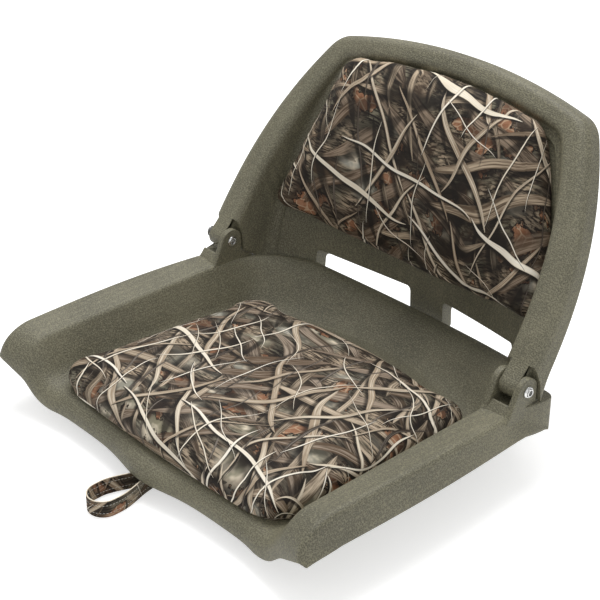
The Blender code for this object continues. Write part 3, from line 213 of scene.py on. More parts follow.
def between(start: Array, end: Array, count: int) -> Array:
    """Evenly spaced points on the straight from start, which is in, to end, which isn't, for every row."""
    share = (np.arange(count) / max(count, 1))[None, :, None]
    return start[:, None] * (1 - share) + end[:, None] * share


def rounded_path(corners: Array, reaches: Sequence[float], runs: Sequence[int], bend: int,
                 whole_start: bool = False, whole_end: bool = False) -> Array:
    """Carries a line with rounded corners along a surface.

    Each inner corner becomes a parabola: its points are the corner's two neighbours on the straights and
    the corner itself, weighted (1 - t) squared, t squared and 2 t (1 - t).

    Args:
        corners: an array of rows, each with the line's corner points.
        reaches: how far each inner corner's bend reaches along its straights.
        runs: how many points each straight between bends has.
        bend: how many points each bend has.
        whole_start: whether the first bend starts at the line's first point.
        whole_end: whether the last bend ends at the line's last point.

    Returns:
        An array of rows of points, from the first corner to the last one.
    """
    last = corners.shape[1] - 1
    at = corners[:, 0]
    parts = []
    t = (np.arange(bend) / bend)[None, :, None]
    for k in range(1, last):
        here = corners[:, k]
        back, ahead = corners[:, k - 1] - here, corners[:, k + 1] - here
        limits = (1.0 if whole_start and k == 1 else BEND_LIMIT_SHARE,
                  1.0 if whole_end and k == last - 1 else BEND_LIMIT_SHARE)
        ends = []
        for arm, limit in zip((back, ahead), limits):
            length = np.linalg.norm(arm, axis=-1, keepdims=True)
            ends.append(here + arm * np.minimum(reaches[k - 1] / length, limit))
        parts.append(between(at, ends[0], runs[k - 1]))
        curve = (1 - t) ** 2 * ends[0][:, None] + 2 * t * (1 - t) * here[:, None] + t ** 2 * ends[1][:, None]
        parts.append(curve)
        at = ends[1]
    parts.append(between(at, corners[:, -1], runs[-1]))
    parts.append(corners[:, -1:])
    return np.concatenate(parts, axis=1)


def resampled(curve: Array, count: int) -> Array:
    """The same curve with count steps of equal length."""
    length = np.concatenate([[0], np.cumsum(np.linalg.norm(np.diff(curve, axis=0), axis=1))])
    wanted = np.linspace(0, length[-1], count + 1)
    return np.stack([np.interp(wanted, length, curve[:, k]) for k in range(curve.shape[1])], axis=-1)


def filled(bottom: Array, right: Array, top: Array, left: Array) -> Array:
    """Fills four border curves with a grid.

    Each inner point is the blend between bottom and top plus the blend between left and right, less the
    blend of the four corners. Bottom and top run left to right, left and right run bottom to top.

    Args:
        bottom: the lower curve.
        right: the right curve.
        top: the upper curve.
        left: the left curve.

    Returns:
        The grid, row by row from the bottom.
    """
    u = np.linspace(0, 1, len(bottom))[None, :, None]
    v = np.linspace(0, 1, len(left))[:, None, None]
    up = (1 - v) * bottom[None] + v * top[None]
    across = (1 - u) * left[:, None] + u * right[:, None]
    corners = (1 - v) * ((1 - u) * bottom[0] + u * bottom[-1]) + v * ((1 - u) * top[0] + u * top[-1])
    return up + across - corners


def border(rows: int, columns: int) -> Array:
    """Vertex numbers round the edge of a grid: along the bottom, up the right, back over the top, down."""
    index = np.arange(rows * columns).reshape(rows, columns)
    return np.concatenate([index[0, :-1], index[:-1, -1], index[-1, :0:-1], index[:0:-1, 0]])


def arc(radius: float, start: float, end: float, steps: int, centre: tuple[float, float] = (0, 0)) -> Array:
    """Points on a round stretch of an outline, angles in degrees from its first axis to its second."""
    angle = np.radians(np.linspace(start, end, steps + 1))
    return np.stack([centre[0] + radius * np.cos(angle), centre[1] + radius * np.sin(angle)], axis=-1)


def smoothed(mesh: bpy.types.Mesh, angle: float) -> None:
    """Shades a mesh smooth, but for the edges that turn by more than an angle."""
    mesh.shade_smooth()
    mesh.set_sharp_from_angle(angle=math.radians(angle))


def linked(name: str, data: bpy.types.ID) -> Piece:
    """Makes an object of its data and puts it into the scene."""
    made = bpy.data.objects.new(name, data)
    bpy.context.scene.collection.objects.link(made)
    return made


def new_object(name: str, points: Array, faces: Array, smooth: float = SMOOTH_ANGLE) -> Piece:
    """Makes an object of a mesh.

    Args:
        name: the object's name.
        points: its vertices, in the row frame.
        faces: vertex numbers of its faces.
        smooth: edges that turn by more than this angle stay sharp.

    Returns:
        The new object, with its place in its mesh.
    """
    mesh = bpy.data.meshes.new(name)
    mesh.from_pydata(points.tolist(), [], faces.tolist())
    mesh.validate()
    smoothed(mesh, smooth)
    return linked(name, mesh)


def settle(piece: Piece, smooth: float = SMOOTH_ANGLE) -> Piece:
    """Applies a piece's modifiers, so that its mesh is what shows.

    Args:
        piece: the piece.
        smooth: edges that turn by more than this angle stay sharp.

    Returns:
        The same piece.
    """
    shaped = bpy.context.evaluated_depsgraph_get()
    mesh = bpy.data.meshes.new_from_object(piece.evaluated_get(shaped))
    piece.modifiers.clear()
    piece.data = mesh
    smoothed(mesh, smooth)
    return piece


def bevelled(tool: Piece, width: float, segments: int = 3) -> Piece:
    """Rounds a tool's sharp edges.

    Args:
        tool: the tool.
        width: how wide the rounding is.
        segments: its count of steps.

    Returns:
        The same tool.
    """
    bevel = tool.modifiers.new("round", 'BEVEL')
    bevel.width = width
    bevel.segments = segments
    bevel.limit_method = 'ANGLE'
    return settle(tool)


def combine(target: Piece, tools: Sequence[Piece], operation: str) -> None:
    """Joins tools to a piece or cuts them out of it, and removes them.

    Args:
        target: the piece.
        tools: the closed tools.
        operation: UNION to join them, DIFFERENCE to cut them out.
    """
    group = bpy.data.collections.new("tools")
    for tool in tools:
        group.objects.link(tool)
    change = target.modifiers.new("change", 'BOOLEAN')
    change.operation = operation
    change.solver = 'EXACT'
    change.operand_type = 'COLLECTION'
    change.collection = group
    settle(target)
    for tool in tools:
        bpy.data.objects.remove(tool)
    bpy.data.collections.remove(group)


def prism(name: str, outline: Array, place: Callable[[Array, float], Array], start: float,
          end: float) -> Piece:
    """A tool with a flat outline, carried from start to end.

    Args:
        name: the tool's name.
        outline: closed outline as an array of two numbers per point.
        place: gives the positions of the outline's points at a distance.
        start: distance of the first end.
        end: distance of the second end.

    Returns:
        The closed tool object, facing out.
    """
    count = len(outline)
    points = np.concatenate([place(outline, start), place(outline, end)])
    ring = np.arange(count)
    after = np.roll(ring, -1)
    sides = np.stack([ring, after, after + count, ring + count], axis=-1).tolist()
    mesh = bpy.data.meshes.new(name)
    mesh.from_pydata(points.tolist(), [], sides + [ring[::-1].tolist(), (ring + count).tolist()])
    made = linked(name, mesh)
    faced_out(made)
    return made


def faced_out(piece: Piece) -> None:
    """Merges a closed mesh's doubles and points its faces outwards."""
    shape = bmesh.new()
    shape.from_mesh(piece.data)
    bmesh.ops.remove_doubles(shape, verts=shape.verts, dist=MERGE_DISTANCE)
    bmesh.ops.recalc_face_normals(shape, faces=shape.faces)
    shape.to_mesh(piece.data)
    shape.free()


def lathe(name: str, profile: Sequence[tuple[float, float]], origin: Array, axis: Array, sides: int = 48,
          reach: float = 0.0004) -> Piece:
    """A round piece turned about an axis.

    A point of the surface is the origin plus the profile's distance along the axis plus its radius along a
    spoke; the profile's corners are rounded first.

    Args:
        name: the piece's name.
        profile: distances along the axis and radii, from one end to the other.
        origin: the point that distances count from.
        axis: the direction of the axis.
        sides: how many spokes there are.
        reach: how far each corner's rounding reaches.

    Returns:
        The closed piece, facing out.
    """
    inner = len(profile) - 2
    line = rounded_path(np.array(profile, dtype=float)[None], [reach] * inner, [1] * (inner + 1), 4)[0]
    axis = unit(np.array(axis, dtype=float))
    across = np.array(Vector(axis).orthogonal().normalized())
    other = np.cross(axis, across)
    angle = 2 * math.pi * np.arange(sides) / sides
    spokes = np.cos(angle)[:, None] * across + np.sin(angle)[:, None] * other
    points = np.array(origin) + line[:, :1, None] * axis + line[:, 1:, None] * spokes[None]
    made = new_object(name, points.reshape(-1, 3), grid_quads(len(line), sides, wrap=True))
    faced_out(made)
    smoothed(made.data, SMOOTH_ANGLE)
    return made


def at_x(outline: Array, x: float) -> Array:
    """Places outline points (y, z) at x, counted from the hinge axis."""
    return HINGE + np.concatenate([np.full((len(outline), 1), x), outline], axis=1)


def round_tool(name: str, origin: Sequence[float], axis: Sequence[float], length: float, radius: float,
               sides: int = 48) -> Piece:
    """A plain round bar that starts at a point counted from the hinge axis."""
    profile = [(0, 0), (0, radius), (length, radius), (length, 0)]
    return lathe(name, profile, HINGE + np.array(origin), np.array(axis), sides, reach=TINY)


class NodeSheet:
    """Adds nodes to one node tree and joins their sockets."""

    def __init__(self, tree: Tree) -> None:
        """Keeps the tree that the nodes go into."""
        self.tree = tree

    def add(self, kind: str, inputs: dict | None = None, **settings) -> Node:
        """Adds a node.

        Args:
            kind: the node's type.
            inputs: values or sockets for its inputs, by name or number.
            settings: its other settings.

        Returns:
            The new node.
        """
        made = self.tree.nodes.new(kind)
        for name, value in settings.items():
            setattr(made, name, value)
        for name, value in (inputs or {}).items():
            self.feed(made.inputs[name], value)
        return made

    def feed(self, socket: Socket, value: Value) -> None:
        """Joins a socket to an input, or writes a plain value into it.

        Args:
            socket: the input.
            value: a socket, a number, a vector or a colour.
        """
        if isinstance(value, Socket):
            self.tree.links.new(value, socket)
        elif isinstance(value, tuple) and len(value) == 3 and socket.type == 'RGBA':
            socket.default_value = (*value, 1)
        else:
            socket.default_value = value

    def maths(self, operation: str, *values: Value, clamp: bool = False) -> Socket:
        """The result of a sum on numbers."""
        made = self.add('ShaderNodeMath', dict(enumerate(values)), operation=operation, use_clamp=clamp)
        return made.outputs[0]

    def vectors(self, operation: str, *values: Value) -> Socket:
        """The result of a sum on vectors."""
        made = self.add('ShaderNodeVectorMath', dict(enumerate(values)), operation=operation)
        return made.outputs[0]

    def scaled(self, vector: Socket, factor: Value) -> Socket:
        """A vector times a number."""
        return self.add('ShaderNodeVectorMath', {0: vector, 'Scale': factor}, operation='SCALE').outputs[0]

    def mixed(self, share: Value, low: Value, high: Value) -> Socket:
        """A colour between two colours."""
        made = self.add('ShaderNodeMix', {0: share, 6: low, 7: high}, data_type='RGBA')
        return made.outputs[2]

    def stepped(self, value: Value, low: float, high: float, to_low: float = 0.0,
                to_high: float = 1.0) -> Socket:
        """A smooth step of a value from one level to another."""
        inputs = {'Value': value, 'From Min': low, 'From Max': high, 'To Min': to_low, 'To Max': to_high}
        return self.add('ShaderNodeMapRange', inputs, interpolation_type='SMOOTHSTEP').outputs[0]

    def noise(self, vector: Socket, scale: Value, detail: float = 2.0, roughness: float = 0.5) -> Node:
        """A cloud of smooth random values."""
        inputs = {'Vector': vector, 'Scale': scale, 'Detail': detail, 'Roughness': roughness}
        return self.add('ShaderNodeTexNoise', inputs)

    def stretched(self, place: Socket, turn: tuple[float, ...], scale: Colour) -> Socket:
        """A place turned and then stretched along its directions."""
        return self.add('ShaderNodeMapping', {'Vector': place, 'Rotation': turn, 'Scale': scale}).outputs[0]

    def parts(self, vector: Socket) -> tuple[Socket, ...]:
        """The three numbers of a vector."""
        made = self.add('ShaderNodeSeparateXYZ', {0: vector})
        return tuple(made.outputs)

    def vector(self, x: Value, y: Value, z: Value = 0.0) -> Socket:
        """A vector of three numbers."""
        return self.add('ShaderNodeCombineXYZ', {0: x, 1: y, 2: z}).outputs[0]

    def group(self, tree: Tree, inputs: dict[str, Value]) -> Node:
        """Places a node group with its own values."""
        return self.add('ShaderNodeGroup', inputs, node_tree=tree)


def new_group(name: str, inputs: dict[str, str],
              outputs: dict[str, str]) -> tuple[NodeSheet, bpy.types.NodeOutputs, bpy.types.NodeInputs]:
    """Opens a new shader node group.

    Args:
        name: the group's name.
        inputs: for each kind of socket the names of the inputs of that kind.
        outputs: the same for the outputs.

    Returns:
        A sheet to add nodes to, the sockets that bring the inputs, and the sockets that take the outputs.
    """
    tree = bpy.data.node_groups.new(name, 'ShaderNodeTree')
    for way, kinds in (('INPUT', inputs), ('OUTPUT', outputs)):
        for kind, labels in kinds.items():
            for label in labels.split():
                tree.interface.new_socket(label, in_out=way, socket_type='NodeSocket' + kind)
    sheet = NodeSheet(tree)
    return sheet, sheet.add('NodeGroupInput').outputs, sheet.add('NodeGroupOutput').inputs


class GroupBook:
    """The shader node groups that several materials share, each built the first time that it is asked for."""

    # Grain: how soft and scattered its pebbles are, how much finer its noise is than they are, the noise's
    # share in the height, the scale of the clouds, and the shares of height and clouds in the colour's tone:
    # the height's share paints shade into the lows and a highlight onto the highs, the clouds' share is random
    # mottle.
    pebble_look = {'Smoothness': 0.4, 'Randomness': 0.7}
    noise_fineness = 2.1
    noise_share = 0.6
    cloud_scale = 14.0
    height_share, cloud_share = 0.7, 0.4
    # Blades: how far the rows slide with the seed, the middle line's lift and lean, the power of the taper,
    # the smallest blade's share of the width, and where edge and shadow fade, in half widths. A third draw
    # is stretched before its fraction says whether a blade is there.
    seed_slide = 0.37
    bow_lift, lean_share = 0.4, 0.7
    taper_power = 0.7
    smallest = 0.4
    least_half = 0.0001
    draw_stretch = 7.0
    edge_fade = (1.0, 0.8)
    shadow_fade = (2.2, 0.8)
    shadow_side = 0.45
    # Paint: the streaks' noise and how it turns into tone, and how much a blade darkens towards its edges.
    streak_across, streak_pick = 2.2, 40.0
    streak_noise = (1.6, 3.0, 0.65)
    streak_steps = (0.36, 0.66, -0.3, 0.7)
    pick_share = 0.6
    edge_dark = -0.5
    shadow_colour = (0.012, 0.009, 0.007)

    @cached_property
    def grain(self) -> Tree:
        """Leathery grain of moulded plastic: pebbles with finer noise, and a tone for the colour that paints shade
        and highlight after the height, with faint random clouds.

        Returns:
            The group's tree.
        """
        sheet, given, result = new_group("moulded grain", {'Vector': "Place", 'Float': "Pebble"},
                                         {'Float': "Height Tone"})
        fine = sheet.maths('DIVIDE', 1.0, given["Pebble"])
        pebble = sheet.add('ShaderNodeTexVoronoi', {'Vector': given["Place"], 'Scale': fine,
                                                    **self.pebble_look}, feature='SMOOTH_F1')
        rough = sheet.noise(given["Place"], sheet.maths('MULTIPLY', fine, self.noise_fineness), 1.0)
        raised = sheet.maths('MULTIPLY_ADD', rough.outputs[0], self.noise_share, pebble.outputs['Distance'])
        sheet.feed(result["Height"], raised)
        cloud = sheet.noise(given["Place"], self.cloud_scale, 3.0)
        clouded = sheet.maths('MULTIPLY', cloud.outputs[0], self.cloud_share)
        # The tone is painted shade in the grain's lows and a painted highlight on its highs, plus random cloud
        # mottle.
        sheet.feed(result["Tone"], sheet.maths('MULTIPLY_ADD', raised, self.height_share, clouded))
        return sheet.tree

    @cached_property
    def weave(self) -> Tree:
        """Plain weave: two crossing sets of threads, one over the other by turns.

        Returns:
            The group's tree.
        """
        sheet, given, result = new_group("weave", {'Vector': "Place", 'Float': "Thread"}, {'Float': "Height"})
        count = sheet.maths('DIVIDE', math.pi, given["Thread"])
        u, v, _ = sheet.parts(sheet.scaled(given["Place"], count))
        waves = [sheet.maths('SINE', value) for value in (u, v)]
        over = sheet.maths('MULTIPLY', *waves)
        threads = [sheet.maths('MULTIPLY', sheet.maths('ABSOLUTE', wave), sheet.stepped(over, -half, half))
                   for wave, half in zip(waves, (0.5, -0.5))]
        sheet.feed(result["Height"], sheet.maths('ADD', *threads))
        return sheet.tree

    @cached_property
    def blades(self) -> Tree:
        """Long leaf blades strewn in rows: one blade in every cell of a turned grid, bent at random.

        In its cell a blade's middle line is a parabola, its width falls to nothing at both ends, and
        Across runs from minus one to one over it.

        Returns:
            The group's tree.
        """
        sheet, given, result = new_group(
            "strewn blades", {'Vector': "Place", 'Float': "Turn Length Spacing Width Bend Share Seed"},
            {'Float': "Mask Shadow Across Along Pick"})
        maths = sheet.maths
        turned = sheet.add('ShaderNodeVectorRotate', {'Vector': given["Place"], 'Angle': given["Turn"]},
                           rotation_type='Z_AXIS')
        x, y, _ = sheet.parts(turned.outputs[0])
        row_place = maths('ADD', maths('DIVIDE', y, given["Spacing"]),
                          maths('MULTIPLY', given["Seed"], self.seed_slide))
        row = maths('FLOOR', row_place)
        slide = sheet.add('ShaderNodeTexWhiteNoise', {'Vector': sheet.vector(row, given["Seed"])},
                          noise_dimensions='2D')
        cell_place = maths('ADD', maths('DIVIDE', x, given["Length"]), slide.outputs[0])
        cell = maths('FLOOR', cell_place)
        along = maths('MULTIPLY_ADD', maths('SUBTRACT', cell_place, cell), 2.0, -1.0)
        beside = maths('SUBTRACT', maths('SUBTRACT', row_place, row), 0.5)
        chance = sheet.add('ShaderNodeTexWhiteNoise', {'Vector': sheet.vector(cell, row, given["Seed"])},
                           noise_dimensions='3D')
        first, second, third = sheet.parts(chance.outputs[1])
        square = maths('MULTIPLY', along, along)
        bow, lean = (maths('MULTIPLY', maths('MULTIPLY_ADD', draw, 2.0, -1.0), given["Bend"])
                     for draw in (first, second))
        middle = maths('MULTIPLY', bow, maths('SUBTRACT', square, self.bow_lift))
        middle = maths('MULTIPLY_ADD', maths('MULTIPLY', lean, self.lean_share), along, middle)
        taper = maths('POWER', maths('SUBTRACT', 1.0, square), self.taper_power)
        share = maths('MULTIPLY_ADD', chance.outputs[0], 1 - self.smallest, self.smallest)
        size = maths('MULTIPLY', share, given["Width"])
        half = maths('MAXIMUM', maths('MULTIPLY', size, taper), self.least_half)
        offset = maths('SUBTRACT', beside, middle)
        across = maths('DIVIDE', offset, half)
        drawn = maths('FRACT', maths('MULTIPLY', third, self.draw_stretch))
        there = maths('LESS_THAN', drawn, given["Share"])
        low = maths('DIVIDE', maths('MULTIPLY_ADD', given["Width"], self.shadow_side, offset), half)
        for name, value, fade in (("Mask", across, self.edge_fade), ("Shadow", low, self.shadow_fade)):
            faded = sheet.stepped(maths('ABSOLUTE', value), *fade)
            sheet.feed(result[name], maths('MULTIPLY', faded, there))
        for name, value in (("Across", across), ("Along", along), ("Pick", third)):
            sheet.feed(result[name], value)
        return sheet.tree

    @cached_property
    def leaf_paint(self) -> Tree:
        """Lays blades over the colours below: a soft shadow beside each, then its streaked colour.

        Returns:
            The group's tree.
        """
        sheet, given, result = new_group(
            "blade paint", {'Color': "Below Dark Light", 'Float': "Mask Shadow Across Along Pick Depth"},
            {'Color': "Color"})
        aside = sheet.maths('MULTIPLY', given["Across"], self.streak_across)
        drawn = sheet.maths('MULTIPLY', given["Pick"], self.streak_pick)
        streak = sheet.noise(sheet.vector(given["Along"], aside, drawn), *self.streak_noise)
        streaked = sheet.stepped(streak.outputs[0], *self.streak_steps)
        tone = sheet.maths('MULTIPLY_ADD', given["Pick"], self.pick_share, streaked)
        rounding = sheet.maths('MULTIPLY', given["Across"], given["Across"])
        tone = sheet.maths('MULTIPLY_ADD', rounding, self.edge_dark, tone, clamp=True)
        blade = sheet.mixed(tone, given["Dark"], given["Light"])
        shade = sheet.maths('MULTIPLY', given["Shadow"], given["Depth"])
        shaded = sheet.mixed(shade, given["Below"], self.shadow_colour)
        sheet.feed(result["Color"], sheet.mixed(given["Mask"], shaded, blade))
        return sheet.tree


GROUPS = GroupBook()


@dataclass(frozen=True)
class Cloud:
    """Smooth random values that step from one value to another between two levels."""

    scale: float
    detail: float
    roughness: float
    low: float
    high: float

    def on(self, sheet: NodeSheet, place: Socket, start: float = 0.0, end: float = 1.0) -> Socket:
        """The stepped values at a place."""
        values = sheet.noise(place, self.scale, self.detail, self.roughness).outputs[0]
        return sheet.stepped(values, self.low, self.high, start, end)


WEAR_CLOUD = Cloud(60.0, 4.0, 0.5, 0.3, 0.7)
SMUDGE_CLOUD = Cloud(320.0, 5.0, 0.7, 0.3, 0.75)


@dataclass(frozen=True)
class Finish:
    """A finish with a plain shader, which each kind of finish dresses further."""

    name: str
    slot: str
    colour: Colour
    roughness: float
    metallic: float = 0.0

    def material(self) -> bpy.types.Material:
        """The finish's material, built the first time that it is asked for.

        Returns:
            The material.
        """
        found = bpy.data.materials.get(self.name)
        if found is not None:
            return found
        made = bpy.data.materials.new(self.name)
        made.use_nodes = True
        sheet = NodeSheet(made.node_tree)
        surface = made.node_tree.nodes["Principled BSDF"]
        surface.inputs["Base Color"].default_value = (*self.colour, 1)
        surface.inputs["Roughness"].default_value = self.roughness
        surface.inputs["Metallic"].default_value = self.metallic
        self.dress(sheet, surface)
        return made

    def dress(self, sheet: NodeSheet, surface: Node) -> None:
        """Adds faint clouds of roughness, which any real surface has."""
        place = sheet.add('ShaderNodeTexCoord').outputs['Object']
        low, high = self.roughness * 0.8, min(self.roughness * 1.2, 1.0)
        sheet.feed(surface.inputs["Roughness"], WEAR_CLOUD.on(sheet, place, low, high))

    def bump(self, sheet: NodeSheet, surface: Node, height: Socket, depth: float) -> None:
        """Turns heights into a relief of the given depth."""
        relief = sheet.add('ShaderNodeBump', {'Strength': 1.0, 'Distance': depth, 'Height': height})
        sheet.feed(surface.inputs["Normal"], relief.outputs[0])


@dataclass(frozen=True)
class MouldedPlastic(Finish):
    """Olive plastic with a fine moulded grain."""

    pebble: float = 0.0015
    depth: float = 0.0004
    # shade and glint scale the colour: painted shade in the grain's lows, painted highlight on its highs.
    shade: float = 0.54
    glint: float = 1.58
    tones: tuple[float, float] = (0.45, 1.05)
    heights: tuple[float, float] = (0.2, 1.0)
    gloss: tuple[float, float] = (-0.06, 0.08)

    def dress(self, sheet: NodeSheet, surface: Node) -> None:
        """Grain in the relief and the gloss, and in the colour as painted shade in its lows and a painted
        highlight on its highs, with faint random mottle.

        Args:
            sheet: the sheet that the nodes go on.
            surface: the shader that they feed.
        """
        place = sheet.add('ShaderNodeTexCoord').outputs['Object']
        grain = sheet.group(GROUPS.grain, {"Place": place, "Pebble": self.pebble})
        # Painted shade and highlight from the grain's height, with random mottle from its clouds, go into the
        # colour.
        tone = sheet.stepped(grain.outputs["Tone"], *self.tones)
        dark, light = (tuple(c * factor for c in self.colour) for factor in (self.shade, self.glint))
        sheet.feed(surface.inputs["Base Color"], sheet.mixed(tone, dark, light))
        height = grain.outputs["Height"]
        roughness = (self.roughness + change for change in self.gloss)
        sheet.feed(surface.inputs["Roughness"], sheet.stepped(height, *self.heights, *roughness))
        self.bump(sheet, surface, height, self.depth)


@dataclass(frozen=True)
class BladeLayer:
    """One layer of leaf blades in the print: its sizes in metres, its turn in degrees and its colours."""

    turn: float
    length: float
    spacing: float
    width: float
    bend: float
    share: float
    dark: Colour
    light: Colour
    depth: float = 0.7


EARTH = (0.026, 0.018, 0.013)
BARK = (0.075, 0.048, 0.03)
FAWN = (0.27, 0.185, 0.115)
STRAW = (0.55, 0.42, 0.28)
CREAM = (0.8, 0.7, 0.54)
PALE = (0.95, 0.9, 0.8)
INK = (0.008, 0.006, 0.005)
KHAKI = (0.22, 0.2, 0.13)
MIST = (0.36, 0.35, 0.3)
RUST = (0.23, 0.1, 0.05)
CLAY = (0.36, 0.19, 0.11)

PRINT_LAYERS = (
    BladeLayer(24, 0.150, 0.034, 0.34, 0.12, 0.8, EARTH, FAWN, 0.6),
    BladeLayer(-38, 0.130, 0.030, 0.30, 0.14, 0.7, BARK, FAWN, 0.7),
    BladeLayer(68, 0.120, 0.026, 0.24, 0.16, 0.65, EARTH, STRAW, 0.8),
    BladeLayer(-12, 0.170, 0.036, 0.20, 0.22, 0.55, BARK, STRAW, 0.8),
    BladeLayer(52, 0.150, 0.044, 0.10, 0.28, 0.6, FAWN, CREAM, 0.8),
    BladeLayer(-62, 0.140, 0.040, 0.09, 0.30, 0.55, FAWN, CREAM, 0.8),
    BladeLayer(84, 0.100, 0.028, 0.07, 0.24, 0.5, EARTH, BARK, 0.3),
    BladeLayer(14, 0.190, 0.052, 0.068, 0.34, 0.6, CREAM, PALE, 0.9),
    BladeLayer(-80, 0.110, 0.034, 0.042, 0.34, 0.5, CREAM, PALE, 0.7),
    BladeLayer(36, 0.090, 0.026, 0.035, 0.34, 0.45, CREAM, PALE, 0.6),
)


def lifted(dark: Colour, light: Colour, share: float) -> Colour:
    """A colour part of the way from a dark one to a light one."""
    return tuple(a + (b - a) * share for a, b in zip(dark, light))


EARTH_CLOUD = Cloud(26.0, 4.0, 0.6, 0.38, 0.68)
PALE_CLOUD = Cloud(70.0, 2.0, 0.5, 0.45, 0.7)
TUFT_BLADES = Cloud(420.0, 3.0, 0.6, 0.42, 0.62)
TUFT_CLOUD = Cloud(24.0, 2.0, 0.5, 0.42, 0.62)
MOTTLE_CLOUD = Cloud(130.0, 4.0, 0.7, 0.35, 0.68)
LEAF_NOISE = (15.0, 6.0, 0.62)
LEAF_LEVELS = (0.556, 0.572, 0.59)
LEAF_SHIFT = (3.1, 1.7, 0.4)
VEIN_SCALE = 95.0
VEIN_LEVELS = (0.09, 0.02)
VEIN_SHARE = 0.6
PATCH_SCALE = 21.0
PATCH_TURN = (0, 0, 0.5)
PATCH_STRETCH = (1.0, 2.1, 1.0)
PATCH_LEVELS = (0.52, 0.2)
PATCH_PICK = (0.9, 1.1)
TUFTS = ((0.9, INK, KHAKI), (-0.6, EARTH, STRAW))
TUFT_STRETCH = (0.12, 1.0, 1.0)
TUFT_SHARE = 0.75
OPEN_STEP = 0.9
OPEN_NOISE = (12.0, 1.0)
SWAY_NOISE = (9.0, 1.0)
SWAY = 0.05
SEED_RISE = 0.6
SEED_STRIDE = 10
LAYER_STRIDE = 3.7
CLOTH_SPECULAR = 0.2


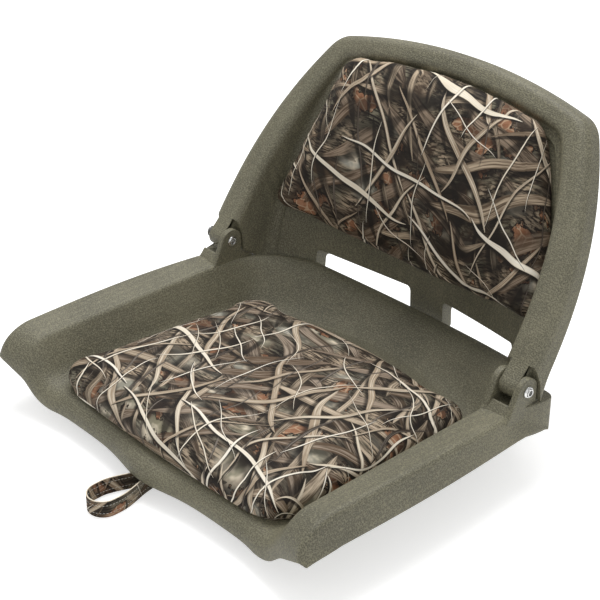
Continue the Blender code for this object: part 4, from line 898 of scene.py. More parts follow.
@dataclass(frozen=True)
class PrintedCloth(Finish):
    """Coated cloth with a print of dry blades, soft patches and rusty leaves on dark earth.

    The first layers are the broad ones: they open up over the dark ground where a cloud is low.
    """

    thread: float = 0.0006
    depth: float = 0.00008
    seed: float = 0.0
    lift: float = 0.0
    pale: float = 0.5
    open_share: float = 0.4
    open_edge: float = 0.05
    open_layers: int = 4
    fine_share: float = 1.0

    def dress(self, sheet: NodeSheet, surface: Node) -> None:
        """Builds the print from its ground up, then the weave.

        Args:
            sheet: the sheet that the nodes go on.
            surface: the shader that they feed.
        """
        place = sheet.add('ShaderNodeAttribute', attribute_name=CLOTH_PLACE).outputs['Vector']
        shifted = sheet.vectors('ADD', place, (self.seed, self.seed * SEED_RISE, 0.0))
        sway = sheet.vectors('SUBTRACT', sheet.noise(shifted, *SWAY_NOISE).outputs[1], (0.5, 0.5, 0.5))
        swayed = sheet.vectors('ADD', shifted, sheet.scaled(sway, SWAY))
        colour = self.ground(sheet, swayed)
        for number, layer in enumerate(PRINT_LAYERS):
            broad = number < self.open_layers
            strewn = sheet.group(GROUPS.blades, {
                "Place": swayed, "Turn": math.radians(layer.turn), "Length": layer.length,
                "Spacing": layer.spacing, "Width": layer.width, "Bend": layer.bend,
                "Share": layer.share * (1.0 if broad else self.fine_share),
                "Seed": self.seed * SEED_STRIDE + number * LAYER_STRIDE})
            inputs = {name: strewn.outputs[name] for name in ("Mask", "Shadow", "Across", "Along", "Pick")}
            if broad:
                inputs["Mask"] = self.opened(sheet, shifted, number, strewn.outputs["Mask"])
            colour = sheet.group(GROUPS.leaf_paint, {
                **inputs, "Below": colour, "Dark": lifted(layer.dark, layer.light, self.lift),
                "Light": lifted(layer.light, PALE, self.lift), "Depth": layer.depth}).outputs[0]
        sheet.feed(surface.inputs["Base Color"], colour)
        surface.inputs["Specular IOR Level"].default_value = CLOTH_SPECULAR
        woven = sheet.group(GROUPS.weave, {"Place": place, "Thread": self.thread})
        self.bump(sheet, surface, woven.outputs["Height"], self.depth)

    def opened(self, sheet: NodeSheet, place: Socket, number: int, mask: Socket) -> Socket:
        """A broad layer's mask, faded out where a cloud is low, so that the dark ground shows there.

        Args:
            sheet: the sheet that the nodes go on.
            place: where the print is read.
            number: the layer's number.
            mask: the layer's mask.

        Returns:
            The mask with its gaps.
        """
        moved = sheet.vectors('ADD', place, (number * OPEN_STEP, 0.4, 0.2))
        cloud = sheet.noise(moved, *OPEN_NOISE).outputs[0]
        low, high = self.open_share - self.open_edge, self.open_share + self.open_edge
        return sheet.maths('MULTIPLY', mask, sheet.stepped(cloud, low, high))

    def ground(self, sheet: NodeSheet, place: Socket) -> Socket:
        """Dark earth with blurred patches of khaki, mist and rust.

        Args:
            sheet: the sheet that the nodes go on.
            place: where the print is read.

        Returns:
            The ground's colour.
        """
        colour = sheet.mixed(EARTH_CLOUD.on(sheet, place), EARTH, lifted(BARK, FAWN, self.lift))
        colour = self.tufts(sheet, place, colour)
        stretched = sheet.stretched(place, PATCH_TURN, PATCH_STRETCH)
        patch = sheet.add('ShaderNodeTexVoronoi', {'Vector': stretched, 'Scale': PATCH_SCALE},
                          feature='SMOOTH_F1')
        pick = sheet.parts(patch.outputs['Color'])
        soft = sheet.stepped(patch.outputs['Distance'], *PATCH_LEVELS)
        picked = sheet.stepped(pick[0], *(level - self.pale for level in PATCH_PICK))
        pale = sheet.mixed(PALE_CLOUD.on(sheet, place), sheet.mixed(pick[1], KHAKI, MIST), CREAM)
        colour = sheet.mixed(sheet.maths('MULTIPLY', soft, picked), colour, pale)
        return self.leaves(sheet, place, colour)

    def tufts(self, sheet: NodeSheet, place: Socket, colour: Socket) -> Socket:
        """Fine grass in two directions, as noise drawn out along its blades.

        Args:
            sheet: the sheet that the nodes go on.
            place: where the print is read.
            colour: the colour so far.

        Returns:
            The colour with these laid over it.
        """
        for turn, dark, light in TUFTS:
            fine = TUFT_BLADES.on(sheet, sheet.stretched(place, (0, 0, turn), TUFT_STRETCH))
            where = TUFT_CLOUD.on(sheet, sheet.vectors('ADD', place, (turn, turn, 0.0)))
            share = sheet.maths('MULTIPLY', where, TUFT_SHARE)
            colour = sheet.mixed(share, colour, sheet.mixed(fine, dark, lifted(light, PALE, self.lift / 2)))
        return colour

    def leaves(self, sheet: NodeSheet, place: Socket, colour: Socket) -> Socket:
        """Rusty dead leaves with ragged dark edges and pale veins.

        Args:
            sheet: the sheet that the nodes go on.
            place: where the print is read.
            colour: the colour so far.

        Returns:
            The colour with these laid over it.
        """
        cloud = sheet.noise(sheet.vectors('ADD', place, LEAF_SHIFT), *LEAF_NOISE).outputs[0]
        cells = sheet.add('ShaderNodeTexVoronoi', {'Vector': place, 'Scale': VEIN_SCALE},
                          feature='DISTANCE_TO_EDGE')
        veins = sheet.stepped(cells.outputs['Distance'], *VEIN_LEVELS)
        leaf = sheet.mixed(MOTTLE_CLOUD.on(sheet, place), RUST, CLAY)
        leaf = sheet.mixed(sheet.maths('MULTIPLY', veins, VEIN_SHARE), leaf, STRAW)
        ragged = sheet.mixed(sheet.stepped(cloud, *LEAF_LEVELS[1:]), INK, leaf)
        return sheet.mixed(sheet.stepped(cloud, *LEAF_LEVELS[:2]), colour, ragged)


@dataclass(frozen=True)
class BrightSteel(Finish):
    """Bright turned metal with fine scratches and smudges."""

    gloss_shares: tuple[float, float] = (0.7, 1.6)
    scratch_scale: float = 2600.0
    scratch_depth: float = 0.00002

    def dress(self, sheet: NodeSheet, surface: Node) -> None:
        """Fine scratches and smudges in the gloss.

        Args:
            sheet: the sheet that the nodes go on.
            surface: the shader that they feed.
        """
        place = sheet.add('ShaderNodeTexCoord').outputs['Object']
        roughness = (self.roughness * share for share in self.gloss_shares)
        sheet.feed(surface.inputs["Roughness"], SMUDGE_CLOUD.on(sheet, place, *roughness))
        scratches = sheet.noise(place, self.scratch_scale, 2.0).outputs[0]
        self.bump(sheet, surface, scratches, self.scratch_depth)


OLIVE = MouldedPlastic("olive moulded plastic", "olive_plastic", (0.152, 0.142, 0.094), 0.48)
SEAT_PRINT = PrintedCloth("printed cloth of the seat", "printed_fabric", FAWN, 0.68, seed=0.31, lift=0.2,
                          pale=0.62, open_share=0.42)
BACK_PRINT = PrintedCloth("printed cloth of the back", "printed_fabric", FAWN, 0.68, seed=1.17, pale=0.3,
                          lift=0.1, open_share=0.46, fine_share=0.8)
STRAP_PRINT = PrintedCloth("printed webbing", "webbing", FAWN, 0.75, thread=0.0011, depth=0.0002, seed=2.4)
STEEL = BrightSteel("bright steel", "stainless_steel", (0.7, 0.7, 0.69), 0.24, 1.0)
BRASS = BrightSteel("turned brass", "brass", (0.6, 0.43, 0.18), 0.3, 1.0)
NYLON = Finish("natural nylon", "nylon", (0.72, 0.7, 0.62), 0.42)
FOAM = Finish("cut foam", "foam", (0.75, 0.7, 0.5), 0.95)
BOARD = Finish("black board", "board", (0.03, 0.03, 0.03), 0.6)
THREAD = Finish("white thread", "webbing", (0.75, 0.73, 0.66), 0.8)
FINISHES = {look.slot: look for look in (OLIVE, SEAT_PRINT, STEEL, BRASS, NYLON, FOAM, BOARD, STRAP_PRINT)}


def dressed(piece: Piece, finish: Finish, body: Body, *nodes: str) -> Piece:
    """Gives a piece its finish and its body.

    Args:
        piece: the finished piece.
        finish: what its surface is.
        body: the body that it rides on.
        nodes: names of the frame's nodes that it stands for.

    Returns:
        The same piece.
    """
    piece.data.materials.clear()
    piece.data.materials.append(finish.material())
    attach(piece, body.value)
    if nodes:
        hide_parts(*nodes)
    log.info("%s: %d faces, rides on %s", piece.name, len(piece.data.polygons), body.value)
    return piece


@dataclass
class BackShell:
    """The moulded back: a flange on three sides, a dished panel, slots at its foot and two hinge knuckles."""

    recline: float = 33.4
    wall: float = 0.0032
    flange_off: float = -0.004
    half_width: float = 0.2335
    taper: float = 0.0615
    taper_height: float = 0.255
    taper_power: float = 2.45
    height: float = 0.2815
    crown: float = 0.0125
    crown_x: float = 0.126
    corner_reach: float = 0.0125
    inner_reach: float = 0.0115
    band_low: float = 0.031
    band_high: float = 0.025
    arch_band: float = 0.0185
    side_depth: float = 0.020
    side_draft: float = 0.003
    outer_fillet: float = 0.008
    inner_fillet: float = 0.0065
    inner_draft: float = 0.003
    foot_fillet: float = 0.011
    dish_top_off: float = 0.004
    dish_depth: float = 0.107
    dish_top_v: float = 0.257
    dish_reach: float = 0.22
    dish_power: float = 1.418
    dish_side_share: float = 0.505
    dish_side_x: float = 0.19
    flange_foot_v: float = -0.0035
    panel_foot_v: float = 0.009
    foot_flare: float = 0.005
    foot_flare_v: float = 0.03
    notch_radius: float = 0.0152
    notch_front_v: float = 0.0235
    notch_rear_v: float = -0.004
    notch_rear_off: float = 0.0215
    notch_angles: tuple[float, float] = (41, 54)
    slot_inner_x: float = 0.0245
    slot_outer_x: float = 0.147
    slot_top_inner_v: float = 0.0368
    slot_top_outer_v: float = 0.0306
    slot_corner: float = 0.006
    collar_depth: float = 0.0135
    collar_rim: float = 0.0032
    knuckle_radius: float = 0.0112
    knuckle_angles: tuple[float, float] = (70, 290)
    knuckle_arm_v: float = 0.042
    knuckle_arm_depth: float = 0.008
    overrun: float = 0.02
    side_steps: int = 56
    corner_steps: int = 10
    top_steps: int = 36
    strip_steps: tuple[int, ...] = (8, 8, 6, 0)
    bend_steps: int = 8
    collar_steps: tuple[int, int] = (96, 6)
    fit_rounds: int = 20

    def directions(self) -> tuple[Array, Array]:
        """The directions of v and off."""
        lean = math.radians(self.recline)
        return np.array([0, math.sin(lean), math.cos(lean)]), np.array([0, math.cos(lean), -math.sin(lean)])

    def place(self, x: Array, v: Array, off: Array) -> Array:
        """Positions of points of the slanted frame: the hinge, plus x, v and off along their directions.

        Args:
            x: how far aside.
            v: how far up the slant.
            off: how far behind it.

        Returns:
            The positions.
        """
        along, rearward = self.directions()
        x, v, off = np.broadcast_arrays(x, v, off)
        sideways = np.array([1.0, 0.0, 0.0])
        return HINGE + x[..., None] * sideways + v[..., None] * along + off[..., None] * rearward

    def dish(self, x: Array, v: Array) -> Array:
        """How far behind the hinge plane the panel's front lies: a power of the depth below its top,
        less a share that grows with the square of x."""
        reach = np.maximum(self.dish_top_v - v, 0) / self.dish_reach
        centre = self.dish_top_off + self.dish_depth * reach ** self.dish_power
        return centre * (1 - self.dish_side_share * (x / self.dish_side_x) ** 2)

    def side_share(self, x: Array) -> Array:
        """How far x has got from the slots' outer ends to the foot of the panel's side."""
        return np.clip((np.abs(x) - self.slot_outer_x) / (self.dish_side_x - self.slot_outer_x), 0, 1)

    def foot_v(self, x: Array) -> Array:
        """Height along the slant of the back's lower edge, which drops outside the slots."""
        return self.panel_foot_v + (self.flange_foot_v - self.panel_foot_v) * self.side_share(x)

    def on_panel(self, x: Array, v: Array, height: Array) -> Array:
        """Positions at a height in front of the panel, measured square to its surface.

        Args:
            x: how far aside.
            v: how far up the slant.
            height: the height.

        Returns:
            The positions.
        """
        step = self.wall
        here = self.place(x, v, self.dish(x, v))
        along_x = self.place(x + step, v, self.dish(x + step, v)) - here
        along_v = self.place(x, v + step, self.dish(x, v + step)) - here
        return here + unit(np.cross(along_x, along_v)) * np.asarray(height)[..., None]

    def half_outline(self, banded: float, extra: float, reach: float) -> Array:
        """Right half of a line round the back, as (x, v), from its foot up to the middle of its top.

        The side is the flange's edge, which narrows by a power of v, and the top falls with the square of
        x. The line lies inside them by the flange's width where banded is one, and by extra besides.

        Args:
            banded: one inside the flange, nothing at its edge.
            extra: how much further in the line lies.
            reach: how far the corner's rounding reaches.

        Returns:
            Its points as an array of two numbers each.
        """
        def side_x(v: Array) -> Array:
            width = self.band_low + (self.band_high - self.band_low) * v / self.height
            edge = self.half_width - self.taper * (np.maximum(v, 0) / self.taper_height) ** self.taper_power
            return edge - banded * width - extra

        def top_v(x: Array) -> Array:
            return self.height - self.crown * (x / self.crown_x) ** 2 - banded * self.arch_band - extra

        corner_v = self.height
        for _ in range(self.fit_rounds):
            corner_v = top_v(side_x(corner_v))
        corner_x = side_x(corner_v)
        side_v = np.linspace(self.flange_foot_v, corner_v - reach, self.side_steps + 1)
        top_x = np.linspace(corner_x - reach, 0, self.top_steps + 1)
        side = np.stack([side_x(side_v), side_v], axis=-1)
        top = np.stack([top_x, top_v(top_x)], axis=-1)
        corner = np.array([corner_x, corner_v])
        t = (np.arange(1, self.corner_steps) / self.corner_steps)[:, None]
        bend = (1 - t) ** 2 * side[-1] + 2 * t * (1 - t) * corner + t ** 2 * top[0]
        return np.concatenate([side, bend, top])

    def sheet(self) -> tuple[Array, Array]:
        """The front surface: a flange strip round three sides and the panel that fills it.

        Returns:
            Its vertices and faces.
        """
        lines = [self.half_outline(0, -self.side_draft, self.corner_reach),
                 self.half_outline(0, 0, self.corner_reach),
                 self.half_outline(1, 0, self.inner_reach),
                 self.half_outline(1, self.inner_draft, self.inner_reach),
                 self.half_outline(1, self.inner_draft + self.foot_fillet, self.inner_reach)]
        flare = self.foot_flare * np.maximum(1 - lines[0][:, 1] / self.foot_flare_v, 0) ** 2
        offs = [self.flange_off + self.side_depth + flare, self.flange_off, self.flange_off]
        offs += [self.dish(*line.T) for line in lines[3:]]
        corners = [self.place(*line.T, off) for line, off in zip(lines, offs)]
        reaches = (self.outer_fillet, self.inner_fillet, self.foot_fillet)
        right = rounded_path(np.stack(corners, axis=1), reaches, self.strip_steps, self.bend_steps,
                             whole_end=True)
        left = (right[:-1] - HINGE) * MIRROR_X + HINGE
        strip = np.concatenate([left, right[::-1]])
        strip_faces = grid_quads(*strip.shape[:2])[:, ::-1]
        panel = self.panel(lines[4])
        panel_faces = grid_quads(*panel.shape[:2]) + strip.shape[0] * strip.shape[1]
        points = np.concatenate([strip.reshape(-1, 3), panel.reshape(-1, 3)])
        return welded(points, np.concatenate([strip_faces, panel_faces]))

    def panel(self, line: Array) -> Array:
        """The dished panel inside the flange, filled from the flange's inner line and the foot's line.

        Args:
            line: right half of the flange's inner line.

        Returns:
            The grid of positions.
        """
        turn = self.side_steps + self.corner_steps // 2
        right, top_right = line[:turn + 1], line[turn:]
        top = np.concatenate([top_right[:-1] * [-1, 1], top_right[::-1]])
        share = np.linspace(-1, 1, len(top))
        foot_x = share * right[0, 0]
        bottom = np.stack([foot_x, np.minimum(self.foot_v(foot_x), self.panel_foot_v)], axis=-1)
        plan = filled(bottom, right, top, right * [-1, 1])
        return self.place(plan[..., 0], plan[..., 1], self.dish(plan[..., 0], plan[..., 1]))

    def slant_tool(self, name: str, outline: Array, start: float, end: float) -> Piece:
        """A tool with a side view (v, off), carried along x."""
        return prism(name, outline, lambda points, x: self.place(x, points[:, 0], points[:, 1]), start, end)

    def slot_top(self, x: Array) -> Array:
        """Height along the slant of a slot's upper edge."""
        share = (np.abs(x) - self.slot_inner_x) / (self.slot_outer_x - self.slot_inner_x)
        return self.slot_top_inner_v + (self.slot_top_outer_v - self.slot_top_inner_v) * share

    def collar(self) -> Piece:
        """The thick rim round both slots, a part of the panel's surface with a deep wall behind it.

        Returns:
            The closed tool.
        """
        reach = self.slot_outer_x + self.collar_rim
        x = np.linspace(-reach, reach, self.collar_steps[0] + 1)[None]
        share = np.linspace(0, 1, self.collar_steps[1] + 1)[:, None]
        low = self.foot_v(x)
        v = low + (self.slot_top(x) + self.collar_rim - low) * share
        points = self.place(x, v, self.dish(x, v) + self.wall / 2)
        quads = grid_quads(*points.shape[:2])
        vertices, faces = thick_shell(points.reshape(-1, 3), quads, self.collar_depth, 2)
        return new_object("collar tool", vertices, faces)

    def slot_tool(self, side: Side) -> Piece:
        """The room of one slot, with round upper corners.

        Args:
            side: the hinge side.

        Returns:
            The closed tool.
        """
        low = -self.overrun
        inner, outer = self.slot_inner_x, self.slot_outer_x
        corners = np.array([(inner, low), (inner, self.slot_top(inner)), (outer, self.slot_top(outer)),
                            (outer, low)])
        outline = rounded_path(corners[None], (self.slot_corner,) * 2, (1, 1, 1), self.bend_steps)[0]
        outline = outline * [side.value, 1]
        return prism("slot tool", outline, lambda points, off: self.place(points[:, 0], points[:, 1], off),
                     self.dish_top_off, 2 * self.dish_depth)

    def knuckle_side(self) -> Array:
        """Side view of the arm end round the hinge pin, as (v, off)."""
        return np.concatenate([arc(self.knuckle_radius, *self.knuckle_angles, 28),
                               [(self.knuckle_arm_v, self.flange_off + self.wall / 2),
                                (self.knuckle_arm_v, self.flange_off + self.knuckle_arm_depth)]])

    def notch_line(self, thickness: float) -> Array:
        """The notch's line from the flange's front round the ear to the foot, moved back by a thickness."""
        turn = np.radians(self.notch_angles)
        ends = np.array([(self.notch_front_v, self.flange_off), (self.notch_rear_v, self.notch_rear_off)])
        ends = ends + thickness * np.stack([np.cos(turn), np.sin(turn)], axis=-1)
        return np.concatenate([ends[:1], arc(self.notch_radius + thickness, *self.notch_angles, 6), ends[1:]])

    def notch_side(self) -> Array:
        """Side view of the room that the flange leaves for an ear, as (v, off)."""
        return np.concatenate([self.notch_line(0), [(-self.overrun, self.notch_rear_off),
                                                    (-self.overrun, -self.overrun),
                                                    (self.notch_front_v, -self.overrun)]])

    def pocket(self, side: Side) -> Piece:
        """The wall that closes the flange behind a notch, from the middle of one side wall to the other.

        Args:
            side: the hinge side.

        Returns:
            The closed tool.
        """
        outline = np.concatenate([self.notch_line(0), self.notch_line(self.wall)[::-1]])

        def bend(depth: Array, reach: float) -> Array:
            return reach * (1 - np.sqrt(np.clip(depth / reach, 0, 1))) ** 2

        def place(points: Array, share: float) -> Array:
            depth = points[:, 1] - self.flange_off
            inner = self.half_width - self.band_low + bend(depth, self.inner_fillet) + self.wall / 2
            outer = self.half_width + self.side_draft * depth / self.side_depth
            outer = outer - bend(depth, self.outer_fillet) - self.wall / 2
            return self.place((inner + (outer - inner) * share) * side.value, points[:, 0], points[:, 1])
        return prism("pocket tool", outline, place, 0, 1)

    def build(self, hinge: "Hinge") -> Piece:
        """Makes the back as one moulded piece.

        Args:
            hinge: the hinges that it turns on.

        Returns:
            The back's shell.
        """
        vertices, faces = thick_shell(*self.sheet(), self.wall)
        shell = new_object("moulded_back", vertices, faces)
        notches, knuckles, cuts, pockets = [], [], [], []
        for side in Side:
            inner, outer, room_inner, room_outer = (x * side.value for x in hinge.spans())
            run = hinge.run_gap * side.value
            far = self.overrun * side.value
            for start, end in ((inner - far, room_inner + run), (room_outer - run, outer + far)):
                notches.append(self.slant_tool("notch tool", self.notch_side(), start, end))
            knuckle = self.slant_tool("knuckle tool", self.knuckle_side(), room_inner + run, room_outer - run)
            knuckles.append(bevelled(knuckle, hinge.edge_round))
            pockets.append(self.pocket(side))
            cuts.append(round_tool("bore tool", (room_inner, 0, 0), (side.value, 0, 0),
                                   abs(room_outer - room_inner), hinge.sleeve_radius))
            cuts.append(self.slot_tool(side))
        combine(shell, [self.collar(), *pockets], 'UNION')
        combine(shell, notches, 'DIFFERENCE')
        combine(shell, knuckles, 'UNION')
        combine(shell, cuts, 'DIFFERENCE')
        return dressed(shell, OLIVE, Body.BACK, "back_shell")


@dataclass
class Hinge:
    """The two hinges: ears on the seat, and per side a headed pin, its retainer and its sleeve."""

    outer_x: float = 0.236
    block_width: float = 0.036
    ear_thickness: float = 0.007
    ear_radius: float = 0.014
    ear_angles: tuple[float, float] = (-12, 158)
    ear_foot_y: float = -0.0245
    ear_foot_z: float = -0.0205
    ear_low_z: float = -0.034
    ear_foot_reach: float = 0.0035
    ledge_front_y: float = -0.0180
    ledge_rear_y: float = -0.0165
    ledge_z: float = -0.0125
    trough_y: float = -0.0150
    trough_z: float = -0.0175
    saddle_front: tuple[float, float] = (0.0137, -0.0150)
    saddle_rear: tuple[float, float] = (0.0310, -0.0264)
    web_front: tuple[float, float] = (-0.0285, -0.0245)
    run_gap: float = 0.0006
    edge_round: float = 0.0011
    pin_radius: float = 0.004
    sleeve_radius: float = 0.0059
    head_radius: float = 0.0062
    head_height: float = 0.0018
    head_flat_share: float = 0.72
    head_rim_share: float = 0.3
    socket_radius: float = 0.0026
    socket_depth: float = 0.003
    hollow_radius: float = 0.0027
    hollow_depth: float = 0.006
    retainer_radius: float = 0.0064
    retainer_height: float = 0.0022
    retainer_dome: tuple[float, float] = (0.94, 0.3)
    sleeve_dome: tuple[float, float] = (1.0, 0.94)
    tail: float = 0.0012
    gap: float = 0.0003
    pin_reach: float = 0.0007
    ring_reach: float = 0.0006
    web_reaches: tuple[float, ...] = (0.003, 0.0012, 0.0005, 0.001, 0.001, 0.0005)

    def spans(self) -> tuple[float, float, float, float]:
        """The x of the ears' inner and outer faces and of the room between them."""
        inner = self.outer_x - self.block_width
        return inner, self.outer_x, inner + self.ear_thickness, self.outer_x - self.ear_thickness

    def ear_side(self) -> Array:
        """Side view of an ear, as (y, z): a round head, a straight front and a saddle behind."""
        head = arc(self.ear_radius, *self.ear_angles, 40)
        corners = np.array([head[-1], (self.ear_foot_y, self.ear_foot_z), self.web_front])
        front = rounded_path(corners[None], (self.ear_foot_reach,), (2, 1), 8)[0]
        low = [(self.web_front[0], self.ear_low_z), (self.saddle_rear[0], self.ear_low_z)]
        return np.concatenate([head, front[1:], low, [self.saddle_rear, self.saddle_front]])

    def web_side(self) -> Array:
        """Side view of the ramp, ledge, trough and saddle between the ears, as (y, z).

        Returns:
            Its points as an array of two numbers each.
        """
        sill = self.saddle_front[0] + self.run_gap
        top = np.array([self.web_front, (self.ear_foot_y, self.ear_foot_z),
                        (self.ledge_front_y, self.ledge_z), (self.ledge_rear_y, self.ledge_z),
                        (self.trough_y, self.trough_z), (sill, self.trough_z),
                        (sill, self.saddle_front[1]), self.saddle_rear])
        line = rounded_path(top[None], self.web_reaches, (1,) * 7, 5)[0]
        low = [(self.saddle_rear[0], self.ear_low_z), (self.web_front[0], self.ear_low_z)]
        return np.concatenate([line, low])

    def ears(self, side: Side) -> list[Piece]:
        """The tools that add one side's ears and the ramp between them to the seat.

        Args:
            side: the hinge side.

        Returns:
            The tools.
        """
        inner, outer, room_inner, room_outer = (x * side.value for x in self.spans())
        plates = [bevelled(prism("ear tool", self.ear_side(), at_x, start, end), self.edge_round, 4)
                  for start, end in ((inner, room_inner), (room_outer, outer))]
        lap = self.ear_thickness / 2 * side.value
        return plates + [prism("web tool", self.web_side(), at_x, room_inner - lap, room_outer + lap)]

    def bore(self, side: Side) -> Piece:
        """The tool that bores the ears for the pin."""
        start = (self.outer_x - self.block_width) * side.value - self.block_width * side.value
        return round_tool("pin bore tool", (start, 0, 0), (side.value, 0, 0), 3 * self.block_width,
                          self.pin_radius + self.gap)

    def build(self) -> None:
        """Makes the pins, retainers and sleeves of both sides."""
        for side in Side:
            name = side.name.lower()
            inner, outer, room_inner, room_outer = (x * side.value for x in self.spans())
            axis = np.array([side.value, 0.0, 0.0])
            reach = self.block_width + 2 * self.gap + self.retainer_height + self.tail
            head = self.head_height
            profile = [(self.socket_depth, 0), (self.socket_depth, self.socket_radius),
                       (-head, self.socket_radius), (-head, self.head_radius * self.head_flat_share),
                       (-head * self.head_rim_share, self.head_radius), (0, self.head_radius),
                       (0, self.pin_radius),
                       (reach, self.pin_radius), (reach, self.hollow_radius),
                       (reach - self.hollow_depth, self.hollow_radius), (reach - self.hollow_depth, 0)]
            origin = HINGE + axis * (abs(inner) - self.gap)
            pin = lathe("hinge_rivet_" + name, profile, origin, axis, 56, self.pin_reach)
            dressed(pin, STEEL, Body.SEAT, "hinge_pin_" + name)
            room = abs(room_outer - room_inner) - 2 * self.run_gap
            washer = self.ring(self.retainer_height, self.retainer_radius, *self.retainer_dome)
            bushing = self.ring(room, self.sleeve_radius - self.gap, *self.sleeve_dome)
            rings = (("rivet_washer_", washer, abs(outer) + self.gap, STEEL, Body.SEAT, "hinge_retainer_"),
                     ("bushing_", bushing, abs(room_inner) + self.run_gap, NYLON, Body.BACK, "hinge_sleeve_"))
            for kind, line, start, finish, body, node in rings:
                made = lathe(kind + name, line, HINGE + axis * start, axis, reach=self.ring_reach)
                dressed(made, finish, body, node + name)

    def ring(self, length: float, radius: float, rim_share: float,
             top_share: float) -> list[tuple[float, float]]:
        """The profile of a turned ring round the pin.

        Args:
            length: how long the ring is.
            radius: its outer radius.
            rim_share: the share of the radius that is left at half its length.
            top_share: the share of the wall that is left at its outer end.

        Returns:
            Distances along the axis and radii.
        """
        bore = self.pin_radius + self.gap
        return [(length / 2, bore), (0, bore), (0, radius), (length / 2, radius * rim_share),
                (length, bore + (radius - bore) * top_share), (length, bore), (length / 2, bore)]


